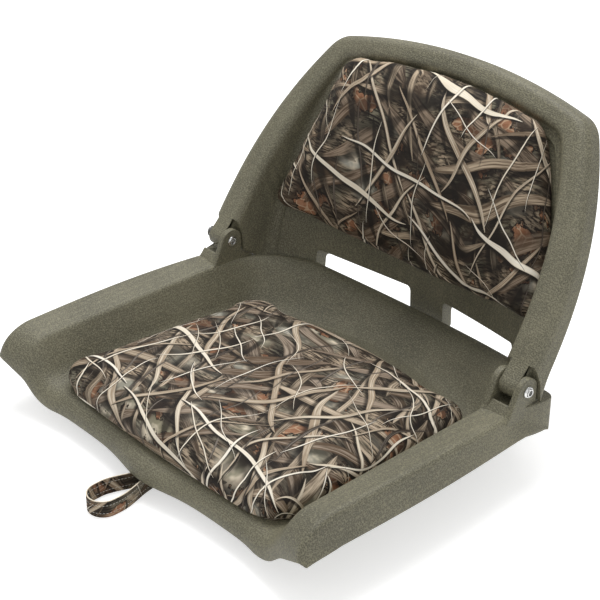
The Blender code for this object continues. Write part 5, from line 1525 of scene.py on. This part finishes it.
@dataclass
class SeatShell:
    """The moulded seat: pan, front lip, two arms, hinge ears, rear blocks, and ribs, bosses and feet below.

    A drop is a depth below the hinge axis.
    """

    wall: float = 0.0032
    base_drop: float = 0.106
    pan_front_drop: float = 0.0645
    pan_rear_drop: float = 0.079
    pan_foot_x: float = 0.177
    pan_foot_fillet: float = 0.018
    rise_length: float = 0.066
    rise_power: float = 1.15
    lip_drop: float = 0.084
    lip_y: float = -0.281
    lip_roll: float = 0.021
    lip_centre_bulge: float = 0.011
    lip_centre_spread: float = 0.046
    lip_side_bulge: float = 0.0055
    lip_side_x: float = 0.176
    lip_side_spread: float = 0.024
    # In threes: the arm's inner crease, its outer crease and its rim.
    arm_x: tuple[float, float, float] = (0.2005, 0.2325, 0.2425)
    arm_drop: tuple[float, float, float] = (0.0225, 0.015, 0.0445)
    arm_rear_drop: float = 0.0205
    arm_bow: float = 0.003
    arm_inner_fillet: float = 0.0048
    arm_outer_fillet: float = 0.0068
    tail_y: float = 0.036
    tail_drop: float = 0.0275
    tail_roll: float = 0.007
    tail_share: float = 0.6
    flare_share: float = 0.8
    nose_y: tuple[float, float, float] = (-0.2895, -0.2965, -0.292)
    nose_drop: tuple[float, float, float] = (0.0625, 0.046, 0.048)
    nose_roll: tuple[float, float] = (0.036, 0.044)
    nose_rim_x: float = 0.2395
    edge_gap: float = 0.0032
    edge_lap: float = 0.010
    edge_side_v: float = 0.008
    edge_roll: float = 0.0028
    pivot_y: float = 0.0155
    block_inner_x: float = 0.2105
    block_outer_x: float = 0.2415
    block_flare_x: float = 0.2325
    block_flare_y: float = -0.016
    block_front_y: float = 0.0165
    block_rear_y: float = 0.037
    block_top_drop: float = 0.0165
    block_low_drop: float = 0.0525
    block_corner: float = 0.015
    block_round: float = 0.0065
    mount_pitch: float = 0.127
    mount_y: float = -0.118
    boss_radius: float = 0.011
    boss_bore_radius: float = 0.0055
    boss_bore_depth: float = 0.02
    post_round: float = 0.0008
    rib_thickness: float = 0.0045
    rib_round: float = 0.0007
    rib_drop: float = 0.098
    cross_rib_drop: float = 0.096
    rib_length: float = 0.19
    hub_radius: float = 0.021
    pad_foot_radius: float = 0.0105
    pad_foot_x: float = 0.146
    pad_foot_y: tuple[float, float] = (-0.243, -0.008)
    lug_x: float = -0.0085
    lug_y: float = -0.222
    lug_thickness: float = 0.005
    lug_length: float = 0.026
    rows: dict[Stretch, int] = field(default_factory=lambda: {
        Stretch.LIP: 18, Stretch.PAN: 30, Stretch.RISE: 26, Stretch.EDGE: 6})
    pan_steps: int = 40
    side_steps: tuple[int, ...] = (0, 8, 6, 6)
    bend_steps: int = 9

    def floor(self, y: Array) -> Array:
        """Height of the pan's floor, which falls evenly towards the rear."""
        share = (y - self.lip_y) / (self.pivot_y - self.lip_y)
        return -self.pan_front_drop - (self.pan_rear_drop - self.pan_front_drop) * share

    def floor_normal(self) -> Array:
        """The direction square to the pan's floor."""
        slope = (self.pan_rear_drop - self.pan_front_drop) / (self.pivot_y - self.lip_y)
        return np.array([0.0, slope, 1.0]) / math.hypot(slope, 1)

    def on_pan(self, x: Array, y: Array, height: Array) -> Array:
        """Positions at a height above the pan's floor, measured square to it."""
        x, y, height = np.broadcast_arrays(x, y, height)
        return HINGE + np.stack([x, y, self.floor(y)], axis=-1) + height[..., None] * self.floor_normal()

    def lip_front(self, x: Array) -> Array:
        """The lip's front edge: a line with one smooth hump in the middle and one towards each side."""
        middle = self.lip_centre_bulge * np.exp(-(x / self.lip_centre_spread) ** 2)
        side = self.lip_side_bulge * np.exp(-((np.abs(x) - self.lip_side_x) / self.lip_side_spread) ** 2)
        return self.lip_y - middle - side

    def rear_edge(self, x: Array, back: BackShell) -> tuple[Array, Array]:
        """The y and z of the seat's rear edge, just in front of the foot of the back's panel.

        Args:
            x: how far aside.
            back: the back.

        Returns:
            The y and the z.
        """
        middle_v = back.panel_foot_v + self.edge_lap
        v = middle_v + (self.edge_side_v - middle_v) * back.side_share(x)
        point = back.place(x, v, back.dish(x, v)) - HINGE
        return point[..., 1] - self.edge_gap, point[..., 2]

    def pan(self, x: Array, share: Array, stretch: Stretch, back: BackShell) -> Array:
        """The pan's surface over one stretch.

        The lip is a quarter ellipse from its foot up to the floor, the pan follows the floor, the rise
        climbs by a power of a smooth step, and the edge rolls over a quarter circle.

        Args:
            x: how far aside.
            share: how far along the stretch, from nothing to one.
            stretch: the stretch.
            back: the back behind the edge.

        Returns:
            The grid of positions, counted from the hinge axis.
        """
        x, share = np.meshgrid(x, share)
        edge_y, edge_z = self.rear_edge(x, back)
        rise_start = edge_y - self.edge_roll - self.rise_length
        lip_end = self.lip_front(x) + self.lip_roll
        angle = share * math.pi / 2
        if stretch is Stretch.LIP:
            y = self.lip_front(x) + self.lip_roll * (1 - np.cos(angle))
            z = -self.lip_drop + (self.floor(y) + self.lip_drop) * np.sin(angle)
        elif stretch is Stretch.PAN:
            y = lip_end + (rise_start - lip_end) * share
            z = self.floor(y)
        elif stretch is Stretch.RISE:
            y = rise_start + self.rise_length * share
            climb = (3 * share ** 2 - 2 * share ** 3) ** self.rise_power
            z = self.floor(y) + (edge_z - self.floor(y)) * climb
        else:
            y = edge_y - self.edge_roll * (1 - np.sin(angle))
            z = edge_z - self.edge_roll * (1 - np.cos(angle))
        return np.stack([x, y, z], axis=-1)

    def arm(self, share: Array, stretch: Stretch) -> tuple[Array, Array, Array]:
        """The arm's inner crease, outer crease and rim over one stretch, each a line of points.

        Args:
            share: how far along the stretch, from nothing to one.
            stretch: the stretch.

        Returns:
            The three lines, counted from the hinge axis.
        """
        (inner_x, outer_x, rim_x), (inner_drop, outer_drop, rim_drop) = self.arm_x, self.arm_drop
        inner_end, outer_end = (y + roll for y, roll in zip(self.nose_y, self.nose_roll))
        tail_start = self.tail_y - self.tail_roll
        rise_start = self.pivot_y - self.rise_length / 2
        angle = share * math.pi / 2
        level, fall = np.sin(angle), 1 - np.cos(angle)
        same = np.ones_like(share)
        if stretch is Stretch.LIP:
            inner, outer = ((x * same, y + roll * fall, -low + (low - drop) * level)
                            for x, y, roll, low, drop in zip(self.arm_x, self.nose_y, self.nose_roll,
                                                             self.nose_drop, self.arm_drop))
            y, low = self.nose_y[2], self.nose_drop[2]
            rim = (self.nose_rim_x + (rim_x - self.nose_rim_x) * level, y + (outer_end - y) * share,
                   -low + (low - rim_drop) * share)
        elif stretch is Stretch.PAN:
            bow = self.arm_bow * np.sin(math.pi * share)
            drop = outer_drop + (self.arm_rear_drop - outer_drop) * share ** 3
            inner = (inner_x * same, inner_end + (rise_start - inner_end) * share, -inner_drop * same)
            outer = (outer_x + bow, outer_end + (rise_start - outer_end) * share, -drop)
            rim = (rim_x + bow, outer[1], -rim_drop * same)
        elif stretch is Stretch.RISE:
            y = rise_start + (tail_start - rise_start) * share
            sink = (self.tail_drop - self.arm_rear_drop) * share ** 2
            flare = (self.block_low_drop - rim_drop) * share ** 3 * self.flare_share
            inner = (inner_x * same, y, -inner_drop - (self.tail_drop - inner_drop) * share ** 2)
            outer = (outer_x * same, y, -self.arm_rear_drop - sink)
            rim = (rim_x * same, y, -rim_drop - flare)
        else:
            y = tail_start + self.tail_roll * level
            sink = fall * self.tail_share
            last = -rim_drop - (self.block_low_drop - rim_drop) * self.flare_share
            inner = (inner_x * same, y, -self.tail_drop - self.tail_roll * sink)
            outer = (outer_x * same, y, -self.tail_drop - (self.block_low_drop - self.tail_drop) * sink)
            rim = (rim_x - self.tail_roll * share, y, last * same)
        return tuple(np.stack(np.broadcast_arrays(*line), axis=-1) for line in (inner, outer, rim))

    def sheet(self, back: BackShell) -> tuple[Array, Array]:
        """The upper surface: the pan from side to side and, carried along, its wall, arm and skirt.

        Args:
            back: the back behind the edge.

        Returns:
            Its vertices and faces.
        """
        blocks = []
        for stretch, count in self.rows.items():
            share = np.linspace(0, 1, count + 1)[1 if blocks else 0:]
            near_foot = self.pan_foot_x - self.pan_foot_fillet
            pan = self.pan(np.linspace(0, near_foot, self.pan_steps + 1), share, stretch, back)
            foot = self.pan(np.array([self.pan_foot_x]), share, stretch, back)[:, 0]
            inner, outer, rim = self.arm(share, stretch)
            corners = np.stack([pan[:, -1], foot, inner, outer, rim], axis=1)
            reaches = (self.pan_foot_fillet, self.arm_inner_fillet, self.arm_outer_fillet)
            side = rounded_path(corners, reaches, self.side_steps, self.bend_steps, whole_start=True)
            blocks.append(np.concatenate([pan[:, :-1], side], axis=1))
        right = np.concatenate(blocks)
        full = np.concatenate([(right * MIRROR_X)[:, :0:-1], right], axis=1) + HINGE
        return full.reshape(-1, 3), grid_quads(*full.shape[:2])

    def blocks(self) -> list[Piece]:
        """The rounded block behind each hinge, which flares out of the arm's side.

        Returns:
            The tools of both sides.
        """
        plan = np.array([(self.block_inner_x, self.block_front_y), (self.block_flare_x, self.block_flare_y),
                         (self.block_outer_x, self.block_front_y), (self.block_outer_x, self.block_rear_y),
                         (self.block_inner_x, self.block_rear_y)])
        reaches = (self.block_round, 2 * self.block_corner, self.block_corner)
        outline = rounded_path(plan[None], reaches, (1, 1, 1, 1), 10)[0]
        made = []
        for side in Side:
            def place(points: Array, height: float) -> Array:
                return HINGE + np.stack([points[:, 0] * side.value, points[:, 1],
                                         np.full(len(points), height)], axis=-1)
            block = prism("block tool", outline, place, -self.block_low_drop, -self.block_top_drop)
            made.append(bevelled(block, self.block_round, 4))
        return made

    def underside(self) -> Piece:
        """Ribs, bosses, hub, feet and strap lug, joined into one body under the pan.

        Returns:
            The joined piece.
        """
        reach, half, run = self.mount_pitch / 2, self.rib_thickness / 2, self.rib_length / 2
        tools = []
        for x in (-reach, reach):
            tools.append(self.web(x - half, x + half, self.mount_y - run, self.mount_y + run, self.rib_drop))
        for y in (self.mount_y - reach, self.mount_y, self.mount_y + reach):
            tools.append(self.web(-run, run, y - half, y + half, self.cross_rib_drop))
        rounds = [(x, self.mount_y + y, self.boss_radius) for x in (-reach, reach) for y in (-reach, reach)]
        rounds += [(x, y, self.pad_foot_radius) for x in (-self.pad_foot_x, self.pad_foot_x)
                   for y in self.pad_foot_y]
        rounds.append((0, self.mount_y, self.hub_radius))
        for x, y, radius in rounds:
            height = self.base_drop + self.floor(y) - self.wall / 2
            profile = [(0, 0), (0, radius), (height, radius), (height, 0)]
            origin = HINGE + np.array([x, y, -self.base_drop])
            tools.append(lathe("post tool", profile, origin, np.array([0, 0, 1.0]), reach=self.post_round))
        lug = (self.lug_thickness / 2, self.lug_length / 2)
        tools.append(self.web(self.lug_x - lug[0], self.lug_x + lug[0], self.lug_y - lug[1],
                              self.lug_y + lug[1], self.base_drop - self.post_round))
        first = tools.pop()
        combine(first, tools, 'UNION')
        first.name = "seat_ribs_and_feet"
        bores = []
        for x in (-reach, reach):
            for y in (-reach, reach):
                origin = (x, self.mount_y + y, -self.base_drop - self.wall)
                bores.append(round_tool("boss bore tool", origin, (0, 0, 1), self.boss_bore_depth,
                                        self.boss_bore_radius, 32))
        combine(first, bores, 'DIFFERENCE')
        return dressed(first, OLIVE, Body.SEAT)

    def web(self, left: float, right: float, front: float, rear: float, drop: float) -> Piece:
        """A rib that reaches from its lower edge up into the middle of the pan's wall."""
        top = [self.floor(y) - self.wall / 2 for y in (rear, front)]
        outline = np.array([(front, -drop), (rear, -drop), (rear, top[0]), (front, top[1])])
        return bevelled(prism("rib tool", outline, at_x, left, right), self.rib_round, 2)

    def build(self, back: BackShell, hinge: Hinge) -> Piece:
        """Makes the seat as one moulded piece, and what stands under it.

        Args:
            back: the back behind the edge.
            hinge: the hinges whose ears it carries.

        Returns:
            The seat's shell.
        """
        vertices, faces = thick_shell(*self.sheet(back), self.wall)
        shell = new_object("moulded_seat", vertices, faces)
        joined = self.blocks()
        for side in Side:
            joined += hinge.ears(side)
        combine(shell, joined, 'UNION')
        combine(shell, [hinge.bore(side) for side in Side], 'DIFFERENCE')
        self.underside()
        return dressed(shell, OLIVE, Body.SEAT, "seat_shell")


COVER_CLOTH = {"quality": 6, "mass": 0.25, "tension_stiffness": 12, "compression_stiffness": 12,
               "shear_stiffness": 4, "bending_stiffness": 0.6, "use_pressure": True,
               "uniform_pressure_force": 4}


def mark_cloth(piece: Piece, places: Array) -> None:
    """Keeps each vertex's place on the flat cloth, which the print is laid on."""
    mark = piece.data.attributes.new(CLOTH_PLACE, 'FLOAT_VECTOR', 'POINT')
    mark.data.foreach_set("vector", places.astype(np.float32).ravel())


@dataclass
class Cushion:
    """A padded cushion: a four-sided plan with bowed ends and round corners, crowned, with drawn-in sides."""

    name: str
    body: Body
    finish: Finish
    place: Place
    nodes: tuple[str, ...]
    low: float
    high: float
    low_x: float
    high_x: float
    low_bow: float
    high_bow: float
    corner: float
    side_power: float
    edge: float
    crown: float
    floor: float
    roll: float = 0.013
    draw_in: float = 0.009
    swell: float = 0.006
    shrink: float = 0.0025
    high_slim_share: float = 0.0
    dome_power: float = 0.8
    roll_start: float = 8.0
    steps: int = 52
    half_bend: int = 8
    roll_steps: int = 6
    side_steps: int = 5
    smooth: float = 80.0
    sim_frames: int = 20

    def ring(self) -> Array:
        """The plan outline with the same count of steps on each of its four sides.

        Corners are parabolas. Then the sides are widened by a power of the height share, and each end is
        bowed by one less the square of x over the half width.

        Returns:
            Its points as an array of two numbers each.
        """
        corners = np.array([(-self.low_x, self.low), (self.low_x, self.low), (self.high_x, self.high),
                            (-self.high_x, self.high)])
        sides = []
        for i in range(4):
            before, here, after, beyond = (corners[(i + k) % 4] for k in (-1, 0, 1, 2))
            leave = self.bend(before, here, after)[self.half_bend:]
            arrive = self.bend(here, after, beyond)[:self.half_bend + 1]
            sides.append(resampled(np.concatenate([leave, arrive]), self.steps)[:-1])
        ring = np.concatenate(sides)
        share = (ring[:, 1] - self.low) / (self.high - self.low)
        straight = self.low_x + (self.high_x - self.low_x) * share
        widened = self.low_x + (self.high_x - self.low_x) * np.clip(share, 0, 1) ** self.side_power
        arch = 1 - (ring[:, 0] / straight) ** 2
        bow = self.high_bow * arch * share - self.low_bow * arch * (1 - share)
        return np.stack([ring[:, 0] * widened / straight, ring[:, 1] + bow], axis=-1)

    def bend(self, before: Array, here: Array, after: Array) -> Array:
        """The parabola round one corner."""
        start = here + unit(before - here) * self.corner
        end = here + unit(after - here) * self.corner
        t = np.linspace(0, 1, 2 * self.half_bend + 1)[:, None]
        return (1 - t) ** 2 * start + 2 * t * (1 - t) * here + t ** 2 * end

    def mesh(self) -> tuple[Array, Array, Array, Array]:
        """The cushion's closed surface.

        The top is a grid filled from the outline, raised by the crown times (1 - a squared)(1 - b squared),
        where a and b run from minus one to one over it. A quarter round leads to the sides, which are
        drawn in towards the floor, and a flat grid closes the bottom.

        Returns:
            Vertices, faces, the place of each vertex on the cloth, and the numbers of the held vertices.
        """
        count, n = 4 * self.steps, self.steps
        ring = self.ring()
        run = unit(np.roll(ring, -1, axis=0) - np.roll(ring, 1, axis=0))
        inward = np.stack([-run[:, 1], run[:, 0]], axis=-1)
        turn = np.radians(np.linspace(self.roll_start, 90, self.roll_steps))
        insets = self.roll * (1 - np.sin(turn)) + self.shrink
        heights = self.edge - self.roll * (1 - np.cos(turn)) - self.shrink
        down = np.linspace(0, 1, self.side_steps + 1)[1:]
        insets = np.concatenate([insets, self.shrink + self.draw_in * down ** 2])
        heights = np.concatenate([heights, heights[-1] + (self.floor - heights[-1]) * down])
        rings = ring + inward * insets[:, None, None]
        run_down = np.concatenate([[0], np.cumsum(np.hypot(np.diff(insets), np.diff(heights)))])
        cloth_rings = rings[0] - inward * run_down[:, None, None]
        top = self.patch(rings[0])
        bottom = self.patch(rings[-1])
        a, b = np.meshgrid(np.linspace(-1, 1, n + 1), np.linspace(-1, 1, n + 1))
        dome = (1 - a ** 2) * (1 - b ** 2)
        top_height = heights[0] + (self.crown - self.shrink - heights[0]) * dome ** self.dome_power
        inner_rings = rings[1:-1]
        ring_heights = np.repeat(heights[1:-1], count).reshape(len(inner_rings), count)
        floor = np.full(bottom.shape[:2], self.floor)
        groups = [(top, top_height), (inner_rings, ring_heights), (bottom, floor)]
        points = np.concatenate([
            self.place(plan[..., 0], plan[..., 1], height * self.slimness(plan[..., 1])).reshape(-1, 3)
            for plan, height in groups])
        cloth = np.concatenate([top.reshape(-1, 2), cloth_rings[1:-1].reshape(-1, 2), bottom.reshape(-1, 2)])
        size = (n + 1) ** 2
        edge_numbers = border(n + 1, n + 1)
        levels = [edge_numbers]
        levels += [size + k * count + np.arange(count) for k in range(len(inner_rings))]
        bottom_start = size + len(inner_rings) * count
        levels.append(bottom_start + edge_numbers)
        walls = [np.stack([high, np.roll(high, -1), np.roll(low, -1), low], axis=-1)
                 for low, high in zip(levels, levels[1:])]
        faces = np.concatenate([grid_quads(n + 1, n + 1), *walls,
                                grid_quads(n + 1, n + 1)[:, ::-1] + bottom_start])
        held = np.arange(bottom_start, bottom_start + size)
        return points, faces, np.concatenate([cloth, np.zeros((len(cloth), 1))], axis=1), held

    def slimness(self, y: Array) -> Array:
        """What share of its thickness the cushion keeps: one less a share that grows with the square of y."""
        along = np.clip((y - self.low) / (self.high - self.low), 0, 1)
        return 1 - self.high_slim_share * along ** 2

    def patch(self, ring: Array) -> Array:
        """A grid that fills a closed plan outline."""
        n = self.steps
        closed = np.concatenate([ring, ring[:1]])
        bottom, right, top, left = (closed[k * n:(k + 1) * n + 1] for k in range(4))
        return filled(bottom, right, top[::-1], left[::-1])

    def puff(self, piece: Piece, held: Array) -> None:
        """Lets the cover swell over its foam as cloth under pressure, by no more than the swell.

        Args:
            piece: the cushion.
            held: the vertices that stay.
        """
        rest = np.empty(len(piece.data.vertices) * 3)
        piece.data.vertices.foreach_get("co", rest)
        rest = rest.reshape(-1, 3)
        pins = piece.vertex_groups.new(name="held")
        pins.add(held.tolist(), 1.0, 'REPLACE')
        cloth = piece.modifiers.new("cover", 'CLOTH')
        for name, value in COVER_CLOTH.items():
            setattr(cloth.settings, name, value)
        cloth.settings.vertex_group_mass = pins.name
        cloth.settings.effector_weights.gravity = 0
        cloth.point_cache.frame_start = 1
        cloth.point_cache.frame_end = self.sim_frames
        for number in range(1, self.sim_frames + 1):
            bpy.context.scene.frame_set(number)
        shaped = piece.evaluated_get(bpy.context.evaluated_depsgraph_get())
        swollen = np.empty(len(shaped.data.vertices) * 3)
        shaped.data.vertices.foreach_get("co", swollen)
        move = swollen.reshape(-1, 3) - rest
        length = np.linalg.norm(move, axis=1, keepdims=True)
        eased = self.swell * np.tanh(length / self.swell)
        bpy.context.scene.frame_set(1)
        piece.modifiers.clear()
        piece.data.vertices.foreach_set("co", (rest + unit(move) * eased).ravel())
        piece.data.update()

    def build(self) -> Piece:
        """Makes the cushion and dresses it in its printed cloth.

        Returns:
            The cushion.
        """
        points, faces, cloth, held = self.mesh()
        piece = new_object(self.name, points, faces, self.smooth)
        mark_cloth(piece, cloth)
        self.puff(piece, held)
        finer = piece.modifiers.new("finer", 'SUBSURF')
        finer.levels = 1
        finer.render_levels = 1
        settle(piece, self.smooth)
        dressed(piece, self.finish, self.body, *self.nodes)
        return piece


@dataclass
class HoldDownStrap:
    """The webbing loop under the front lip, sewn with two rows of stitches; it hangs from the seat's lug."""

    seat: SeatShell
    thickness: float = 0.0016
    width: float = 0.0172
    rise: float = 0.0008
    loop_half_width: float = 0.0165
    loop_shift: float = -0.002
    nose_y: float = -0.343
    waist_y: float = -0.276
    end_length: float = 0.011
    gap: float = 0.0003
    steps: int = 180
    rounds: int = 3
    height_steps: int = 10
    stitch_inset: float = 0.0042
    stitch_length: float = 0.0026
    stitch_pitch: float = 0.0034
    stitch_radius: float = 0.00028
    stitch_sides: int = 8
    stitch_swells: tuple[float, ...] = (0.15, 1.0, 0.15)

    def path(self) -> Array:
        """The strap's middle line in plan: out from its lug, round the loop and back, evenly spaced.

        Each round of smoothing puts two points on every stretch, a quarter of it away from its ends.

        Returns:
            Its points as an array of two numbers each.
        """
        seat, radius = self.seat, self.loop_half_width
        beside = seat.lug_x + seat.lug_thickness / 2 + self.thickness / 2 + self.gap
        turn_y = self.nose_y + radius
        out = np.array([(beside, seat.lug_y + self.end_length), (beside, seat.lug_y - seat.lug_length / 2),
                        (beside, self.waist_y), (seat.lug_x + radius, turn_y + radius)])
        round_end = arc(radius, 0, -180, 12, (seat.lug_x, turn_y))
        back = (out * [-1, 1] + [2 * seat.lug_x, 0])[::-1]
        line = np.concatenate([out, round_end, back])
        line[:, 0] += self.loop_shift * np.clip((self.waist_y - line[:, 1]) / radius, 0, 1)
        for _ in range(self.rounds):
            pairs = [line[:-1] * (1 - share) + line[1:] * share for share in (0.25, 0.75)]
            line = np.concatenate([line[:1], np.stack(pairs, axis=1).reshape(-1, 2), line[-1:]])
        return resampled(line, self.steps)

    def build(self) -> None:
        """Makes the strap and its stitches."""
        path = self.path()
        run = unit(np.gradient(path, axis=0))
        out = np.stack([run[:, 1], -run[:, 0]], axis=-1)
        low = -self.seat.base_drop + self.rise
        height = low + self.width * np.linspace(0, 1, self.height_steps + 1)
        face = path + out * self.thickness / 2
        levels = np.broadcast_to(height[None, :, None], (len(path), len(height), 1))
        points = np.concatenate([np.repeat(face[:, None], len(height), axis=1), levels], axis=-1)
        vertices, faces = thick_shell(points.reshape(-1, 3) + HINGE, grid_quads(*points.shape[:2])[:, ::-1],
                                      self.thickness, 6)
        strap = new_object("webbing_loop", vertices, faces)
        along = np.linspace(0, self.length(path), len(path))
        cloth = np.stack([*np.broadcast_arrays(along[:, None], height[None], 0.0)], axis=-1).reshape(-1, 3)
        rim = np.zeros((len(vertices) - 2 * len(cloth), 3))
        mark_cloth(strap, np.concatenate([cloth, cloth, rim]))
        dressed(strap, STRAP_PRINT, Body.SEAT, "hold_down_strap")
        self.stitches(path, out, low)

    @staticmethod
    def length(path: Array) -> float:
        """The length of a line."""
        return float(np.linalg.norm(np.diff(path, axis=0), axis=1).sum())

    def stitches(self, path: Array, out: Array, low: float) -> None:
        """Two rows of stitches along both faces: short thread lozenges, all in one mesh.

        Args:
            path: the strap's middle line.
            out: the direction out of its face.
            low: the height of its lower edge.
        """
        total = self.length(path)
        count, sides = int(total / self.stitch_pitch), self.stitch_sides
        middle = (np.arange(count) + 0.5) * self.stitch_pitch
        along = np.linspace(0, total, len(path))

        def at(places: Array, line: Array) -> Array:
            return np.stack([np.interp(places, along, line[:, j]) for j in range(2)], axis=-1)

        ends = [at(middle + k * self.stitch_length / 2, path) for k in (-1, 0, 1)]
        normal = unit(at(middle, out))
        ring = arc(1.0, 0, 360, sides)[:-1]
        quads = grid_quads(len(ends), sides, wrap=True)
        size = len(ends) * sides
        points, faces = [], []
        for face_side in (-1, 1):
            for height in (low + self.stitch_inset, low + self.width - self.stitch_inset):
                rings = []
                for centre, swell in zip(ends, self.stitch_swells):
                    middle_line = centre + normal * face_side * self.thickness / 2
                    spread = ring[None, :, :1] * normal[:, None] * self.stitch_radius * swell
                    up = height + ring[None, :, 1:] * self.stitch_radius * swell
                    up = np.broadcast_to(up, (count, sides, 1))
                    rings.append(np.concatenate([middle_line[:, None] + spread, up], axis=-1))
                numbers = (np.arange(count) * size)[:, None, None] + quads[None]
                faces.append(numbers.reshape(-1, 4) + len(points) * count * size)
                points.append(np.stack(rings, axis=1).reshape(-1, 3))
        made = new_object("strap_stitching", np.concatenate(points) + HINGE, np.concatenate(faces))
        faced_out(made)
        dressed(made, THREAD, Body.SEAT)


@dataclass
class Studio:
    """A pale floor, soft light and the camera."""

    azimuth: float = 47.29
    elevation: float = 29.0
    camera_place: tuple[float, float, float] = (0.9790755, -0.9828267, 0.7730478)
    lens: float = 90.0
    sensor: float = 36.0
    nearest: float = 0.05
    floor_size: float = 14.0
    floor_colour: Colour = (0.86, 0.86, 0.855)
    floor_roughness: float = 0.9
    floor_glow: float = 0.55
    key_place: tuple[float, float, float] = (-0.45, 0.5, 2.3)
    key_size: float = 1.4
    key_power: float = 39.0
    fill_place: tuple[float, float, float] = (1.6, -0.6, 1.0)
    fill_size: float = 1.2
    fill_power: float = 2.4
    ambient: float = 0.57

    def build(self) -> None:
        """Makes the camera, the lamps, the floor and the world."""
        self.camera()
        self.lamp("key", self.key_place, self.key_size, self.key_power)
        self.lamp("fill", self.fill_place, self.fill_size, self.fill_power)
        self.floor()
        self.world()
        bpy.context.scene.view_settings.view_transform = 'Standard'

    def camera(self) -> None:
        """Stands the camera where the seat is seen from its right front corner, from above."""
        data = bpy.data.cameras.new("camera")
        data.lens = self.lens
        data.sensor_width = self.sensor
        data.clip_start = self.nearest
        camera = linked("camera", data)
        a, e = math.radians(self.azimuth), math.radians(self.elevation)
        back = Vector((math.sin(a) * math.cos(e), -math.cos(a) * math.cos(e), math.sin(e)))
        camera.location = Vector(HINGE) + Vector(self.camera_place)
        camera.rotation_euler = back.to_track_quat('Z', 'Y').to_euler()
        bpy.context.scene.camera = camera

    def lamp(self, name: str, place: tuple[float, float, float], size: float, power: float) -> None:
        """A square soft light that looks at the seat.

        Args:
            name: its name.
            place: where it stands.
            size: its side length.
            power: its power.
        """
        data = bpy.data.lights.new(name, 'AREA')
        data.size = size
        data.energy = power
        lamp = linked(name, data)
        lamp.location = Vector(place)
        lamp.rotation_euler = (Vector(place) - Vector(HINGE)).to_track_quat('Z', 'Y').to_euler()

    def floor(self) -> None:
        """A pale floor that glows a little for the camera and keeps the seat's soft shadow."""
        half = self.floor_size / 2
        corners = np.array([(-half, -half, 0), (half, -half, 0), (half, half, 0), (-half, half, 0)])
        floor = new_object("studio_floor", corners, np.array([[0, 1, 2, 3]]))
        made = bpy.data.materials.new("pale floor")
        made.use_nodes = True
        sheet = NodeSheet(made.node_tree)
        surface = made.node_tree.nodes["Principled BSDF"]
        surface.inputs["Base Color"].default_value = (*self.floor_colour, 1)
        surface.inputs["Roughness"].default_value = self.floor_roughness
        surface.inputs["Emission Color"].default_value = (1, 1, 1, 1)
        rays = sheet.add('ShaderNodeLightPath')
        seen = sheet.maths('MAXIMUM', rays.outputs['Is Camera Ray'], rays.outputs['Is Glossy Ray'])
        sheet.feed(surface.inputs["Emission Strength"], sheet.maths('MULTIPLY', seen, self.floor_glow))
        floor.data.materials.append(made)

    def world(self) -> None:
        """Even light from all round, and white where a camera or transmission ray sees past the floor."""
        world = bpy.data.worlds.new("studio")
        world.use_nodes = True
        bpy.context.scene.world = world
        sheet = NodeSheet(world.node_tree)
        back = world.node_tree.nodes["Background"]
        back.inputs["Color"].default_value = (1, 1, 1, 1)
        rays = sheet.add('ShaderNodeLightPath')
        seen = sheet.maths('MAXIMUM', rays.outputs['Is Camera Ray'], rays.outputs['Is Transmission Ray'])
        strength = sheet.stepped(seen, 0.0, 1.0, self.ambient, 1.0)
        sheet.feed(back.inputs["Strength"], strength)


def dress_frame() -> None:
    """Gives every node of the frame that still shows the finish of its material slot."""
    for part in frame["record"]["subparts"]:
        node = frame["nodes"][part["node"]]
        node.data.materials.clear()
        node.data.materials.append(FINISHES[part["material_slot"]].material())


def build_cushions(seat: SeatShell, back: BackShell) -> None:
    """Makes both cushions.

    Args:
        seat: the seat's shell.
        back: the back's shell.
    """
    pressed = Cushion("seat_cushion", Body.SEAT, SEAT_PRINT, seat.on_pan, ("seat_pad_cover", "seat_pad_foam"),
                      low=-0.270, high=0.010, low_x=0.176, high_x=0.173, low_bow=0.012, high_bow=0.011,
                      corner=0.038, side_power=1.0, edge=0.029, crown=0.043, floor=0.0003,
                      high_slim_share=0.2).build()
    tuple(seat.on_pan(0.0, seat.lip_y, 0.0))
    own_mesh(pressed)
    Cushion("back_cushion", Body.BACK, BACK_PRINT, back.on_panel, ("back_pad_cover", "back_pad_foam"),
            low=0.063, high=0.2505, low_x=0.2, high_x=0.1375, low_bow=0.001, high_bow=0.012,
            corner=0.020, side_power=1.4, edge=0.030, crown=0.037, floor=0.0012).build()


def main() -> None:
    """Builds the seat's pieces in order, then the studio."""
    logging.basicConfig(level=logging.INFO, format="%(message)s")
    dress_frame()
    back, seat, hinge = BackShell(), SeatShell(), Hinge()
    seat.build(back, hinge)
    back.build(hinge)
    hinge.build()
    build_cushions(seat, back)
    HoldDownStrap(seat).build()
    Studio().build()


if __name__ == "__main__":
    main()
